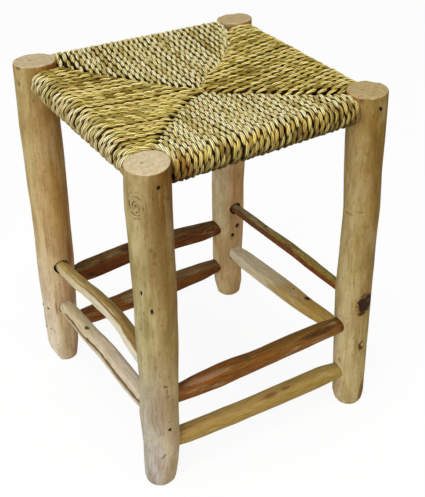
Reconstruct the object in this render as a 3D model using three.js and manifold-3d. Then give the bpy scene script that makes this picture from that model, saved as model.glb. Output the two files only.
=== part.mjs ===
// Low stool: four round pole legs, eight stretchers, and a seat of cord wound over four rails.
// Sizes are in millimetres. The origin is on the floor under the middle of the stool,
// X runs to the right along the front, Y to the back and Z up.
import * as THREE from 'three';
import * as BufferGeometryUtils from 'three/addons/utils/BufferGeometryUtils.js';
import Module from 'manifold-3d';

const wasm = await Module();
wasm.setup();

const FIT_GAP = 0.3;

// Legs: debarked poles, each with its own lean, thickness and sawn top.
// top and foot are points on the pole's centre line, bow is its sideways bend at half height,
// and cut is the slope of the sawn top along X and Y.
const LEG_SIDES = 14;
const LEGS = {
  leg_front_left: { top: [-149.4, -145.6, 450.5], foot: [-144.8, -148], girth: 0.99, bow: [0.6, -0.4], cut: [0.1, 0.04] },
  leg_front_right: { top: [149.2, -138, 456.5], foot: [149.4, -151.6], girth: 0.98, bow: [-0.6, 0.4], cut: [0.04, 0] },
  leg_back_left: { top: [-143.6, 144, 459], foot: [-140, 145.6], girth: 1.05, bow: [0.6, -0.4], cut: [0.02, -0.08] },
  leg_back_right: { top: [149.6, 142.2, 454], foot: [146.6, 151.6], girth: 0.97, bow: [-1.4, 1], cut: [0, -0.07] },
};
// Height up the leg as a share of its length, and the radius there before girth.
const LEG_PROFILE = [
  [0, 14.5], [0.012, 18.2], [0.04, 20.4], [0.1, 22], [0.24, 23.3], [0.5, 24.2], [0.8, 25], [0.994, 25.1], [1, 23.8],
];

// Seat rails: peeled rods between the legs, hidden inside the winding, with thinner ends in the legs.
const RAIL_HEIGHT = 437;
const RAIL_RADIUS = 9.3;
const RAIL_TENON_RADIUS = 7.5;
const RAIL_TENON_STOP = 9.2;

// Stretchers: whittled rods whose ends run into blind holes in the legs.
// line holds stations along the rod: share of the way between the legs' centre lines, height, radius.
// aside is the rod's sideways bend, outwards from the stool, at its middle.
const STRETCHER_SIDES = 10;
const TENON_PAST_AXIS = 6;
const SIDE_UPPER_LEFT = [
  [0, 166, 8], [0.09, 166.5, 8.2], [0.2, 169, 8.8], [0.31, 173, 9.3], [0.41, 179, 9.8], [0.5, 183, 9.8],
  [0.61, 184.5, 9.8], [0.7, 182.5, 10.2], [0.77, 176.5, 11.4], [0.85, 172, 11.8], [0.92, 169, 11], [1, 167, 10.4],
];
const STRETCHERS = {
  stretcher_left_upper: { from: 'leg_back_left', to: 'leg_front_left', aside: 0, line: SIDE_UPPER_LEFT },
  stretcher_left_lower: {
    from: 'leg_back_left', to: 'leg_front_left', aside: 1,
    line: [[0, 99, 9.5], [0.09, 99.3, 9.8], [0.17, 99.8, 11], [0.4, 101.8, 11.6], [0.7, 102.2, 12.3], [0.84, 103, 12.3],
      [0.92, 103.2, 10.8], [1, 103.4, 10.4]],
  },
  stretcher_right_upper: {
    from: 'leg_back_right', to: 'leg_front_right', aside: 0,
    line: [[0, 163.6, 6.6], [0.09, 164, 6.8], [0.2, 164.8, 7.1], [0.55, 167, 7.6], [0.8, 167.2, 7.1], [0.92, 167, 6.8],
      [1, 166.8, 6.6]],
  },
  stretcher_right_lower: {
    from: 'leg_back_right', to: 'leg_front_right', aside: -1,
    line: [[0, 85, 10.4], [0.09, 85.8, 10.8], [0.17, 86.8, 13.2], [0.5, 92.4, 13.2], [0.7, 95.6, 11.9], [0.84, 98.8, 10.8],
      [0.92, 99.6, 9.6], [1, 100, 9.4]],
  },
  stretcher_back_upper: {
    from: 'leg_back_left', to: 'leg_back_right', aside: 0,
    line: [[0, 129, 11], [0.09, 129.6, 11.6], [0.16, 131, 14.6], [0.4, 135, 14.3], [0.66, 131.4, 14.2], [0.84, 128, 13.4],
      [0.92, 127, 11.2], [1, 126.4, 10.6]],
  },
  stretcher_back_lower: {
    from: 'leg_back_left', to: 'leg_back_right', aside: 0,
    line: [[0, 53, 9.6], [0.09, 52.8, 10], [0.17, 52, 12.6], [0.42, 52.8, 14], [0.67, 53.8, 14.2], [0.84, 56.2, 12.8],
      [0.92, 57, 10], [1, 57.4, 9.6]],
  },
  stretcher_front_upper: {
    from: 'leg_front_left', to: 'leg_front_right', aside: 0,
    line: [[0, 127.4, 10], [0.08, 127.6, 10.4], [0.16, 128.2, 12.4], [0.3, 128, 14], [0.5, 129.5, 12.4], [0.84, 130.6, 12],
      [0.92, 130.8, 10.2], [1, 131, 9.8]],
  },
  stretcher_front_lower: {
    from: 'leg_front_left', to: 'leg_front_right', aside: 0,
    line: [[0, 59, 10], [0.08, 58.8, 10.4], [0.16, 58, 12.7], [0.5, 56, 12.5], [0.84, 55.8, 12.4], [0.92, 55.8, 10.2],
      [1, 55.8, 9.8]],
  },
};

// Nails driven through the legs into the rod ends: height, direction they point in, and length.
const NAIL_SIDES = 6;
const NAIL_SHANK_RADIUS = 1.3;
const NAIL_HEAD_RADIUS = 2.4;
const NAIL_HEAD_THICKNESS = 1;
const NAIL_POINT = 4;
const NAILS = {
  nail_seat_rail_left: { leg: 'leg_front_left', height: 433, towards: [0, 1], length: 44, aside: -1.5 },
  nail_seat_rail_right: { leg: 'leg_front_right', height: 441, towards: [0, 1], length: 44, aside: 1 },
  nail_left_lower_front: { leg: 'leg_front_left', height: 99, towards: [0, 1], length: 32, aside: -0.5 },
  nail_left_lower_back: { leg: 'leg_back_left', height: 95, towards: [1, 0], length: 26, aside: -6 },
  nail_back_lower: { leg: 'leg_back_left', height: 57, towards: [1, 0], length: 32, aside: -4 },
  nail_back_upper_high: { leg: 'leg_back_right', height: 133, towards: [0, 1], length: 24, aside: 1.5 },
  nail_back_upper_low: { leg: 'leg_back_right', height: 120, towards: [0, 1], length: 24, aside: -5 },
};

// Seat: one cord wound round the four rails in turn, corner after corner, each circuit inside the last.
// At a corner the cord goes over one rail, back under it, up inside the crossing, over the next rail,
// back under that, and on between the two faces of the seat to the next corner.
const CIRCUITS = 16;
const CORD_RADIUS = 3.3;
const CORD_HIDDEN_RADIUS = 1.45;
const CORD_SIDES = 5;
const CORD_FROM_LEG = 3.9;
const WRAP_RADIUS = 15.2;
const FACE_HEIGHT = 12.4;
const SEAT_SAG = 4;
const LEAST_CORD_GAP = 0.4;

const LEG_WOOD = { color: 0xb39a6b, roughness: 0.75, metalness: 0 };
const DARK_WOOD = { color: 0x70401c, roughness: 0.7, metalness: 0 };
const PALE_WOOD = { color: 0xb9a27a, roughness: 0.75, metalness: 0 };
const CORD = { color: 0xb5a873, roughness: 0.85, metalness: 0 };
const IRON = { color: 0x2b2320, roughness: 0.6, metalness: 0.8 };

// A closed, merged copy of a geometry with its faces pointing out.
function closedGeometry(source) {
  let geometry = source.clone();
  geometry.deleteAttribute('normal');
  geometry.deleteAttribute('uv');
  geometry = BufferGeometryUtils.mergeVertices(geometry, 1e-4);
  const p = geometry.attributes.position;
  const index = Array.from(geometry.index.array);
  const kept = [];
  let volume = 0;
  const a = new THREE.Vector3();
  const b = new THREE.Vector3();
  const c = new THREE.Vector3();
  for (let i = 0; i < index.length; i += 3) {
    const [u, v, w] = index.slice(i, i + 3);
    if (u === v || v === w || w === u) continue;
    a.fromBufferAttribute(p, u);
    b.fromBufferAttribute(p, v);
    c.fromBufferAttribute(p, w);
    volume += a.dot(b.clone().cross(c)) / 6;
    kept.push(u, v, w);
  }
  if (volume < 0) kept.reverse();
  geometry.setIndex(kept);
  return geometry;
}

function toManifold(geometry) {
  const g = closedGeometry(geometry);
  return new wasm.Manifold(new wasm.Mesh({
    numProp: 3,
    vertProperties: new Float32Array(g.attributes.position.array),
    triVerts: new Uint32Array(g.index.array),
  }));
}

function toGeometry(manifold) {
  const mesh = manifold.getMesh();
  const geometry = new THREE.BufferGeometry();
  geometry.setAttribute('position', new THREE.BufferAttribute(mesh.vertProperties, 3));
  geometry.setIndex(Array.from(mesh.triVerts));
  return geometry;
}

// A rod turned about Z through stations of height and radius, closed by a flat face at each end.
function turnedRod(stations, sides, grow = 0) {
  const last = stations.length - 1;
  const profile = stations.map(([z, r], i) => {
    let end = 0;
    if (i === 0) end = -grow;
    if (i === last) end = grow;
    return new THREE.Vector2(r + grow, z + end);
  });
  profile.unshift(new THREE.Vector2(0, profile[0].y));
  profile.push(new THREE.Vector2(0, profile[profile.length - 1].y));
  const geometry = new THREE.LatheGeometry(profile, sides);
  geometry.rotateX(Math.PI / 2);
  return geometry;
}

// Moves every vertex of a geometry.
function bend(geometry, move) {
  const p = geometry.attributes.position;
  const v = new THREE.Vector3();
  for (let i = 0; i < p.count; i += 1) {
    v.fromBufferAttribute(p, i);
    move(v);
    p.setXYZ(i, v.x, v.y, v.z);
  }
  return geometry;
}

function legCentre(name, z) {
  const { top, foot, bow } = LEGS[name];
  const t = z / top[2];
  const swing = Math.sin(Math.PI * t);
  return new THREE.Vector2(
    foot[0] + (top[0] - foot[0]) * t + bow[0] * swing,
    foot[1] + (top[1] - foot[1]) * t + bow[1] * swing,
  );
}

function legRadius(name, z) {
  const t = z / LEGS[name].top[2];
  const i = Math.max(1, LEG_PROFILE.findIndex(([share]) => share >= t));
  const [t0, r0] = LEG_PROFILE[i - 1];
  const [t1, r1] = LEG_PROFILE[i];
  return LEGS[name].girth * (r0 + (r1 - r0) * ((t - t0) / (t1 - t0)));
}

// A pole is a little out of round, leans, bows, and ends in a slanting saw cut.
function legGeometry(name, grow = 0) {
  const { top, girth, cut } = LEGS[name];
  const height = top[2];
  const rod = turnedRod(LEG_PROFILE.map(([share, r]) => [share * height, r * girth]), LEG_SIDES, grow);
  return bend(rod, (v) => {
    const angle = Math.atan2(v.y, v.x);
    const oval = 1 + 0.014 * Math.cos(2 * angle + top[0]) + 0.01 * Math.cos(3 * angle + top[1]);
    const centre = legCentre(name, THREE.MathUtils.clamp(v.z, 0, height));
    v.x *= oval;
    v.y *= oval;
    if (v.z > 0.9 * height) v.z += cut[0] * v.x + cut[1] * v.y;
    v.x += centre.x;
    v.y += centre.y;
  });
}

// A rod that follows stations of share, height and radius from one leg to another.
function rodBetween({ from, to, aside, line }, stop, sides, grow = 0) {
  const a = legCentre(from, line[0][1]);
  const b = legCentre(to, line[line.length - 1][1]);
  const along = b.clone().sub(a);
  const span = along.length();
  along.normalize();
  const across = new THREE.Vector2(-along.y, along.x);
  const stations = line.map(([share, , radius]) => [share * span, radius]);
  stations[0][0] = -stop;
  stations[stations.length - 1][0] = span + stop;
  const heightAt = (s) => {
    const share = THREE.MathUtils.clamp(s / span, 0, 1);
    let i = line.findIndex(([t]) => t >= share);
    if (i < 1) i = 1;
    const [t0, z0] = line[i - 1];
    const [t1, z1] = line[i];
    return z0 + (z1 - z0) * ((share - t0) / (t1 - t0));
  };
  return bend(turnedRod(stations, sides, grow), (v) => {
    const s = v.z;
    const side = v.x + aside * Math.sin(Math.PI * THREE.MathUtils.clamp(s / span, 0, 1));
    v.set(a.x + along.x * s + across.x * side, a.y + along.y * s + across.y * side, heightAt(s) + v.y);
  });
}

function railSpec(from, to) {
  const shoulder = 0.092;
  return {
    from,
    to,
    aside: 0,
    line: [
      [0, RAIL_HEIGHT, RAIL_TENON_RADIUS], [shoulder, RAIL_HEIGHT, RAIL_TENON_RADIUS],
      [shoulder + 0.012, RAIL_HEIGHT, RAIL_RADIUS], [0.5, RAIL_HEIGHT, RAIL_RADIUS],
      [1 - shoulder - 0.012, RAIL_HEIGHT, RAIL_RADIUS], [1 - shoulder, RAIL_HEIGHT, RAIL_TENON_RADIUS],
      [1, RAIL_HEIGHT, RAIL_TENON_RADIUS],
    ],
  };
}

const RAILS = {
  seat_rail_front: railSpec('leg_front_left', 'leg_front_right'),
  seat_rail_back: railSpec('leg_back_left', 'leg_back_right'),
  seat_rail_left: railSpec('leg_back_left', 'leg_front_left'),
  seat_rail_right: railSpec('leg_back_right', 'leg_front_right'),
};

// A nail lies along Z with its head up; it is then turned to its direction and set in the leg's face.
function nailGeometry({ leg, height, towards, length, aside }, grow = 0) {
  const stations = [
    [-length, 0.3], [NAIL_POINT - length, NAIL_SHANK_RADIUS], [-NAIL_HEAD_THICKNESS, NAIL_SHANK_RADIUS],
    [-NAIL_HEAD_THICKNESS, NAIL_HEAD_RADIUS], [0, NAIL_HEAD_RADIUS * 0.9],
  ];
  const nail = turnedRod(stations.map(([z, r]) => [z, r]), NAIL_SIDES, grow);
  const centre = legCentre(leg, height);
  const out = new THREE.Vector3(-towards[0], -towards[1], 0);
  const sideways = new THREE.Vector3(-out.y, out.x, 0);
  const reach = Math.sqrt(legRadius(leg, height) ** 2 - aside ** 2);
  const turn = new THREE.Quaternion().setFromUnitVectors(new THREE.Vector3(0, 0, 1), out);
  nail.applyQuaternion(turn);
  nail.translate(
    centre.x + out.x * reach + sideways.x * aside,
    centre.y + out.y * reach + sideways.y * aside,
    height,
  );
  return nail;
}

// The seat's plan is nearly square: halves between the rails' centre lines, and its four true corners.
const seatCorners = ['leg_front_left', 'leg_front_right', 'leg_back_right', 'leg_back_left'].map(
  (name) => ({ name, at: legCentre(name, RAIL_HEIGHT) }),
);
const seatHalf = new THREE.Vector2(
  (seatCorners[1].at.x - seatCorners[0].at.x + seatCorners[2].at.x - seatCorners[3].at.x) / 4,
  (seatCorners[3].at.y - seatCorners[0].at.y + seatCorners[2].at.y - seatCorners[1].at.y) / 4,
);

// A point of the even rectangle, moved to the stool's real, slightly uneven plan.
function onSeat(x, y, z) {
  const s = (x / seatHalf.x + 1) / 2;
  const t = (y / seatHalf.y + 1) / 2;
  const [frontLeft, frontRight, backRight, backLeft] = seatCorners.map(({ at }) => at);
  const front = frontLeft.clone().lerp(frontRight, s);
  const back = backLeft.clone().lerp(backRight, s);
  const plan = front.lerp(back, t);
  const dip = Math.max(0, 1 - (x / seatHalf.x) ** 2) * Math.max(0, 1 - (y / seatHalf.y) ** 2);
  return new THREE.Vector3(plan.x, plan.y, RAIL_HEIGHT + z - SEAT_SAG * dip);
}

// The winding's route: points on the cord's centre line, each with the cord's radius there.
// Where cords cross inside the seat they are squeezed thin, as soft cord is.
function cordRoute() {
  const legReach = Math.max(...seatCorners.map(({ name }) => legRadius(name, RAIL_HEIGHT)));
  const first = seatHalf.clone().subScalar(legReach + CORD_FROM_LEG);
  const pitch = first.clone().divideScalar(CIRCUITS - 0.5);
  const route = [];
  for (let circuit = 0; circuit < CIRCUITS; circuit += 1) {
    const offset = first.clone().addScaledVector(pitch, -circuit);
    for (let corner = 0; corner < 4; corner += 1) {
      const along = new THREE.Vector2(1, 0).rotateAround(new THREE.Vector2(), (corner * Math.PI) / 2);
      const next = new THREE.Vector2(-along.y, along.x);
      const swap = corner % 2 === 1;
      const [u0, w0] = swap ? [offset.y, offset.x] : [offset.x, offset.y];
      const [railU, railW] = swap ? [seatHalf.y, seatHalf.x] : [seatHalf.x, seatHalf.y];
      const put = (u, w, z, radius) => {
        const x = along.x * u - next.x * w;
        const y = along.y * u - next.y * w;
        route.push({ at: onSeat(x, y, z), radius });
      };
      const wrap = (place) => {
        for (const degrees of [90, 30, -30, -90]) {
          const angle = THREE.MathUtils.degToRad(degrees);
          place(WRAP_RADIUS * Math.cos(angle), WRAP_RADIUS * Math.sin(angle));
        }
      };
      put(u0 + 5, w0, 3.4, CORD_HIDDEN_RADIUS);
      put(u0 + 11, w0, FACE_HEIGHT, CORD_RADIUS);
      wrap((out, z) => put(railU + out, w0, z, CORD_RADIUS));
      put(u0 + 10, w0, -FACE_HEIGHT, CORD_RADIUS * 0.95);
      put(u0 + 3.8, w0 - 3.8, -6, CORD_HIDDEN_RADIUS);
      put(u0 + 3.8, w0 - 3.8, 5.5, CORD_HIDDEN_RADIUS);
      put(u0 + 1.9, w0 + 0.8, FACE_HEIGHT, CORD_RADIUS * 0.85);
      wrap((out, z) => put(u0, railW + out, z, CORD_RADIUS));
      put(u0, w0 + 6.5, -FACE_HEIGHT, CORD_RADIUS * 0.85);
      put(u0, w0 - 1.5, -3.5, CORD_HIDDEN_RADIUS);
      if (corner === 3 && circuit < CIRCUITS - 1) {
        put(u0, w0 - Math.min(14, 2 * w0 - pitch.x - 2), 0, CORD_HIDDEN_RADIUS);
      }
    }
  }
  return route;
}

// Least clear distance between stretches of the cord that aren't neighbours along it.
function leastGap(route) {
  const step = 1;
  const skip = 14;
  const cell = 8;
  const samples = [];
  let travelled = 0;
  for (let i = 1; i < route.length; i += 1) {
    const [a, b] = [route[i - 1], route[i]];
    const length = a.at.distanceTo(b.at);
    const count = Math.ceil(length / step);
    for (let k = 0; k < count; k += 1) {
      const t = k / count;
      samples.push({
        at: a.at.clone().lerp(b.at, t), radius: a.radius + (b.radius - a.radius) * t, along: travelled + length * t,
      });
    }
    travelled += length;
  }
  const cells = new Map();
  const key = (x, y, z) => `${x},${y},${z}`;
  samples.forEach((sample) => {
    const place = [sample.at.x, sample.at.y, sample.at.z].map((v) => Math.floor(v / cell));
    sample.place = place;
    const name = key(...place);
    if (!cells.has(name)) cells.set(name, []);
    cells.get(name).push(sample);
  });
  let least = Infinity;
  let where = null;
  for (const sample of samples) {
    const [x, y, z] = sample.place;
    for (let i = 0; i < 27; i += 1) {
      const near = cells.get(key(x + (i % 3) - 1, y + (Math.floor(i / 3) % 3) - 1, z + Math.floor(i / 9) - 1)) ?? [];
      for (const other of near) {
        if (other.along - sample.along > skip) {
          const gap = sample.at.distanceTo(other.at) - sample.radius - other.radius;
          if (gap < least) {
            least = gap;
            where = sample.at;
          }
        }
      }
    }
  }
  return { least, where, length: travelled };
}

// One tube through the route, its rings carried along without twist and closed by a flat end at each side.
function cordTube(route) {
  const points = [];
  const faces = [];
  let normal = new THREE.Vector3(0, 0, 1);
  route.forEach(({ at, radius }, i) => {
    const before = route[Math.max(0, i - 1)].at;
    const after = route[Math.min(route.length - 1, i + 1)].at;
    const arriving = at.clone().sub(before).normalize();
    const leaving = after.clone().sub(at).normalize();
    const heading = arriving.add(leaving).normalize();
    normal = normal.clone().addScaledVector(heading, -normal.dot(heading)).normalize();
    const side = heading.clone().cross(normal);
    for (let k = 0; k < CORD_SIDES; k += 1) {
      const angle = (k * 2 * Math.PI) / CORD_SIDES;
      const rim = at.clone()
        .addScaledVector(normal, radius * Math.cos(angle))
        .addScaledVector(side, radius * Math.sin(angle));
      points.push(rim.x, rim.y, rim.z);
    }
    if (i === 0) return;
    const ring = i * CORD_SIDES;
    for (let k = 0; k < CORD_SIDES; k += 1) {
      const k2 = (k + 1) % CORD_SIDES;
      faces.push(ring - CORD_SIDES + k, ring - CORD_SIDES + k2, ring + k2);
      faces.push(ring - CORD_SIDES + k, ring + k2, ring + k);
    }
  });
  const last = (route.length - 1) * CORD_SIDES;
  for (let k = 1; k < CORD_SIDES - 1; k += 1) {
    faces.push(0, k + 1, k);
    faces.push(last, last + k, last + k + 1);
  }
  const geometry = new THREE.BufferGeometry();
  geometry.setAttribute('position', new THREE.Float32BufferAttribute(points, 3));
  geometry.setIndex(faces);
  return closedGeometry(geometry);
}

function seatGeometry() {
  const route = cordRoute();
  const { least, where, length } = leastGap(route);
  console.log(`seat cord: ${(length / 1000).toFixed(1)} m long, least gap to itself ${least.toFixed(2)} mm`,
    where.toArray().map(Math.round));
  if (least < LEAST_CORD_GAP) throw new Error('the seat cord touches itself');
  return cordTube(route);
}

const stool = new THREE.Group();

function addPart(name, geometry, look) {
  const mesh = new THREE.Mesh(geometry, new THREE.MeshStandardMaterial(look));
  mesh.name = name;
  geometry.computeVertexNormals();
  stool.add(mesh);
}

const rods = [
  ...Object.entries(STRETCHERS).map(([name, spec]) => ({ name, spec, stop: TENON_PAST_AXIS, sides: STRETCHER_SIDES })),
  ...Object.entries(RAILS).map(([name, spec]) => ({ name, spec, stop: -RAIL_TENON_STOP, sides: STRETCHER_SIDES })),
];
const nailHoles = Object.values(NAILS).map((spec) => toManifold(nailGeometry(spec, FIT_GAP)));
const drilled = (solid) => nailHoles.reduce((body, hole) => body.subtract(hole), solid);

for (const name of Object.keys(LEGS)) {
  let leg = toManifold(legGeometry(name));
  for (const { spec, stop, sides } of rods.filter(({ spec: s }) => s.from === name || s.to === name)) {
    leg = leg.subtract(toManifold(rodBetween(spec, stop, sides, FIT_GAP)));
  }
  addPart(name, toGeometry(drilled(leg)), LEG_WOOD);
}
for (const { name, spec, stop, sides } of rods) {
  const look = name.includes('back') || name === 'stretcher_front_upper' ? DARK_WOOD : PALE_WOOD;
  addPart(name, toGeometry(drilled(toManifold(rodBetween(spec, stop, sides)))), look);
}
for (const [name, spec] of Object.entries(NAILS)) {
  addPart(name, closedGeometry(nailGeometry(spec)), IRON);
}
addPart('woven_seat', seatGeometry(), CORD);

export default stool;
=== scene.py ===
"""The visual model of the stool: round debarked legs, whittled stretchers and a seat of two-ply palm cord.

Lengths are in millimetres until a mesh is made, and the meshes are in metres, in the frame's own place.
"""

import math

import bpy
import numpy as np
from mathutils import Euler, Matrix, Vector


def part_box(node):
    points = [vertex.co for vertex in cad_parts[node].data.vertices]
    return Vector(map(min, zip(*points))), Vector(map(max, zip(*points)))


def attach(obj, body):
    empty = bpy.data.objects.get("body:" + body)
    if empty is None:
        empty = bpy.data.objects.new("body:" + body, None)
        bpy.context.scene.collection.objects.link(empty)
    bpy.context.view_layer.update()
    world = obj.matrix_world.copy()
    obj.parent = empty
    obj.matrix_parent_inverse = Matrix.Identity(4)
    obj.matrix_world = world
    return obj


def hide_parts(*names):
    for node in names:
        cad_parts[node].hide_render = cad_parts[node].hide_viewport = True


MM = 0.001
UP = np.array([0, 0, 1.0])
# Added to a piece's seed for its finer noise
FINE_SEED = 100

# The camera, at the photograph's own angle
CAMERA_PLACE = (-0.6102, -0.9933, 0.968)
CAMERA_PITCH_DOWN = 32.92
CAMERA_YAW = 32.53
IMAGE_HEIGHT_PX = 497
FOCAL_PX = 1056.5
SENSOR_MM = 36
PICTURE_RIGHT = (math.cos(math.radians(CAMERA_YAW)), -math.sin(math.radians(CAMERA_YAW)), 0)

# The lamps as (name, place in metres, watts, size in metres), and the height that they point at
LAMPS = (
    ("key", (-1.7, -1.0, 1.3), 29.5, 1.2),
    ("top", (-0.3, -0.2, 2.6), 29.5, 1.6),
    ("fill", (1.0, -2.2, 1.0), 13, 1.6),
)
LAMPS_AIM = 0.28
# The world's colour and strength, as light on the stool and as the camera sees it
WORLD_LIGHT = ((1, 0.985, 0.94, 1), 0.43)
BACKDROP = ((1, 1, 1, 1), 1)
FLOOR_HALF = 6000
# How much of the floor the camera sees as plain white, without shadow
FLOOR_WHITE = 0.92

# Rings of points up a leg: near the floor, up its length, and at depths below the sawn end, where the last
# ones are drawn in. Where the noise passes CHIP_FROM, those rings are chipped.
LEG_AROUND = 96
FOOT_LEVELS = (0, 0.3, 1.2, 2.6, 4.4)
BODY_FROM, BODY_BELOW_TOP, BODY_STEP = 7, 3.2, 2.0
TOP_DEPTHS = (2.2, 1.2, 0.5, 0.12)
RIM_DRAWN_IN = (0, 0, 0.45, 1.1)
CHIP_FROM = 0.2
CHIP_DEPTHS = (0.8, 2.6, 4.2, 5.2)
# Rings of the sawn end as shares of its rim, how far it stands over the leg's height, and its marks' height
SAWN_RINGS = (0.975, 0.9, 0.78, 0.62, 0.45, 0.28, 0.12)
SAWN_RISE = 0.12
SAW_MARKS = 0.16
# The share of a leg's height from which its rings lean, and the share over which they come to the saw cut
LEAN_FROM = 0.8
LEAN_OVER = 0.2
# The heights of a leg's broad waves, knife marks and bark lines, and of the edges where it is shaved
LEG_RELIEF = (0.75, 0.28, 0.12)
LEG_WAVE_LENGTH = 70
SHAVED_RAGGED = 0.25
# How far from round a leg is, as shares of its radius, with two and with three bulges to a turn
LEG_OVAL = (0.014, 0.01)
# shape holds (height, how far the pole's middle lies to the picture's right, radius), cut the slope of the
# saw cut, and shaved the planes that cut the foot, as (point, way out)
LEGS = {
    "leg_front_left": {
        "top": (-149.4, -145.6, 450.5), "foot": (-144.8, -148.0), "cut": (0.1, 0.04),
        "shape": [
            (0, -3.0, 13.0), (1.2, -3.0, 15.2), (4, -2.8, 17.3), (11, -2.5, 18.9), (32, -1.1, 20.6),
            (64, 1.0, 21.8), (111, -0.5, 23.3), (167, 1.0, 22.9), (220, 1.0, 24.0), (271, 1.3, 24.1),
            (336, 0.2, 24.5), (397, -0.8, 24.9), (450, 0.0, 24.6),
        ],
        "shaved": [], "seed": 11,
    },
    "leg_front_right": {
        "top": (149.2, -138.0, 456.5), "foot": (149.4, -151.6), "cut": (0.04, 0.0),
        "shape": [
            (0, -0.1, 15.0), (1.2, -0.1, 17.0), (5, -0.5, 19.3), (16, -1.2, 21.5), (78, -1.7, 22.7),
            (175, -2.3, 23.7), (230, -0.7, 22.8), (300, 1.7, 23.2), (350, 0.7, 23.3), (398, 0.4, 24.1),
            (456, 0.0, 24.7),
        ],
        "shaved": [((170.6, -169.8, 20), (0.66, -0.68, -0.42))], "seed": 12,
    },
    "leg_back_left": {
        "top": (-143.6, 144.0, 459.0), "foot": (-140.0, 145.6), "cut": (0.02, -0.08),
        "shape": [
            (0, 2.2, 13.4), (1.2, 2.1, 15.2), (4, 1.7, 16.9), (26, 0.6, 21.0), (69, 0.3, 22.7),
            (172, 1.0, 25.0), (268, 0.6, 24.9), (322, 0.0, 25.6), (373, -1.0, 25.7), (420, -0.6, 26.0),
            (459, 0.0, 26.4),
        ],
        "shaved": [((-156, 150, 14), (-0.86, 0.1, -0.5))], "seed": 13,
    },
    "leg_back_right": {
        "top": (149.6, 142.2, 454.0), "foot": (146.6, 151.6), "cut": (0.0, -0.07),
        "shape": [
            (0, 3.2, 11.2), (1.8, 3.1, 14.8), (4.5, 2.9, 17.2), (22, 1.9, 20.5), (39, 0.6, 21.2),
            (68, -0.1, 22.5), (146, -1.7, 23.8), (197, -2.7, 23.8), (300, -1.4, 23.9), (400, -0.4, 24.0),
            (454, 0.0, 23.8),
        ],
        "shaved": [], "seed": 14,
    },
}

# Stretchers: line holds (share of the way between the leg axes, height, radius), bow the bend aside at the
# middle, flats (degrees, share of the radius), holes each mortise as (radius, aside, up), and grooves
# (path of (share, degrees), half width, depth)
STRETCHER_AROUND = 64
STRETCHER_STEP = 2.0
STRETCHER_PAST_AXIS = 5
STRETCHER_RELIEF = (0.55, 0.22, 0.12)
STRETCHER_WAVE_LENGTH = 34
# How crisp the edges of a rod's flats are, and the least cosine from a flat's direction where it still cuts
FACET_SHARPNESS = 44
FACET_LEAST_COS = 0.2
FACET_ROUNDING = 0.02
# How a stretcher rises and sways, and its flats and grooves turn and vary, as (how far, in what length)
ROD_RISES, ROD_SWAYS = (0.5, 60), (0.6, 50)
FLAT_TURNS, FLAT_VARIES = (0.16, 70), (0.05, 45)
GROOVE_TURNS, GROOVE_VARIES = (0.1, 30), (0.5, 7)
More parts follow.
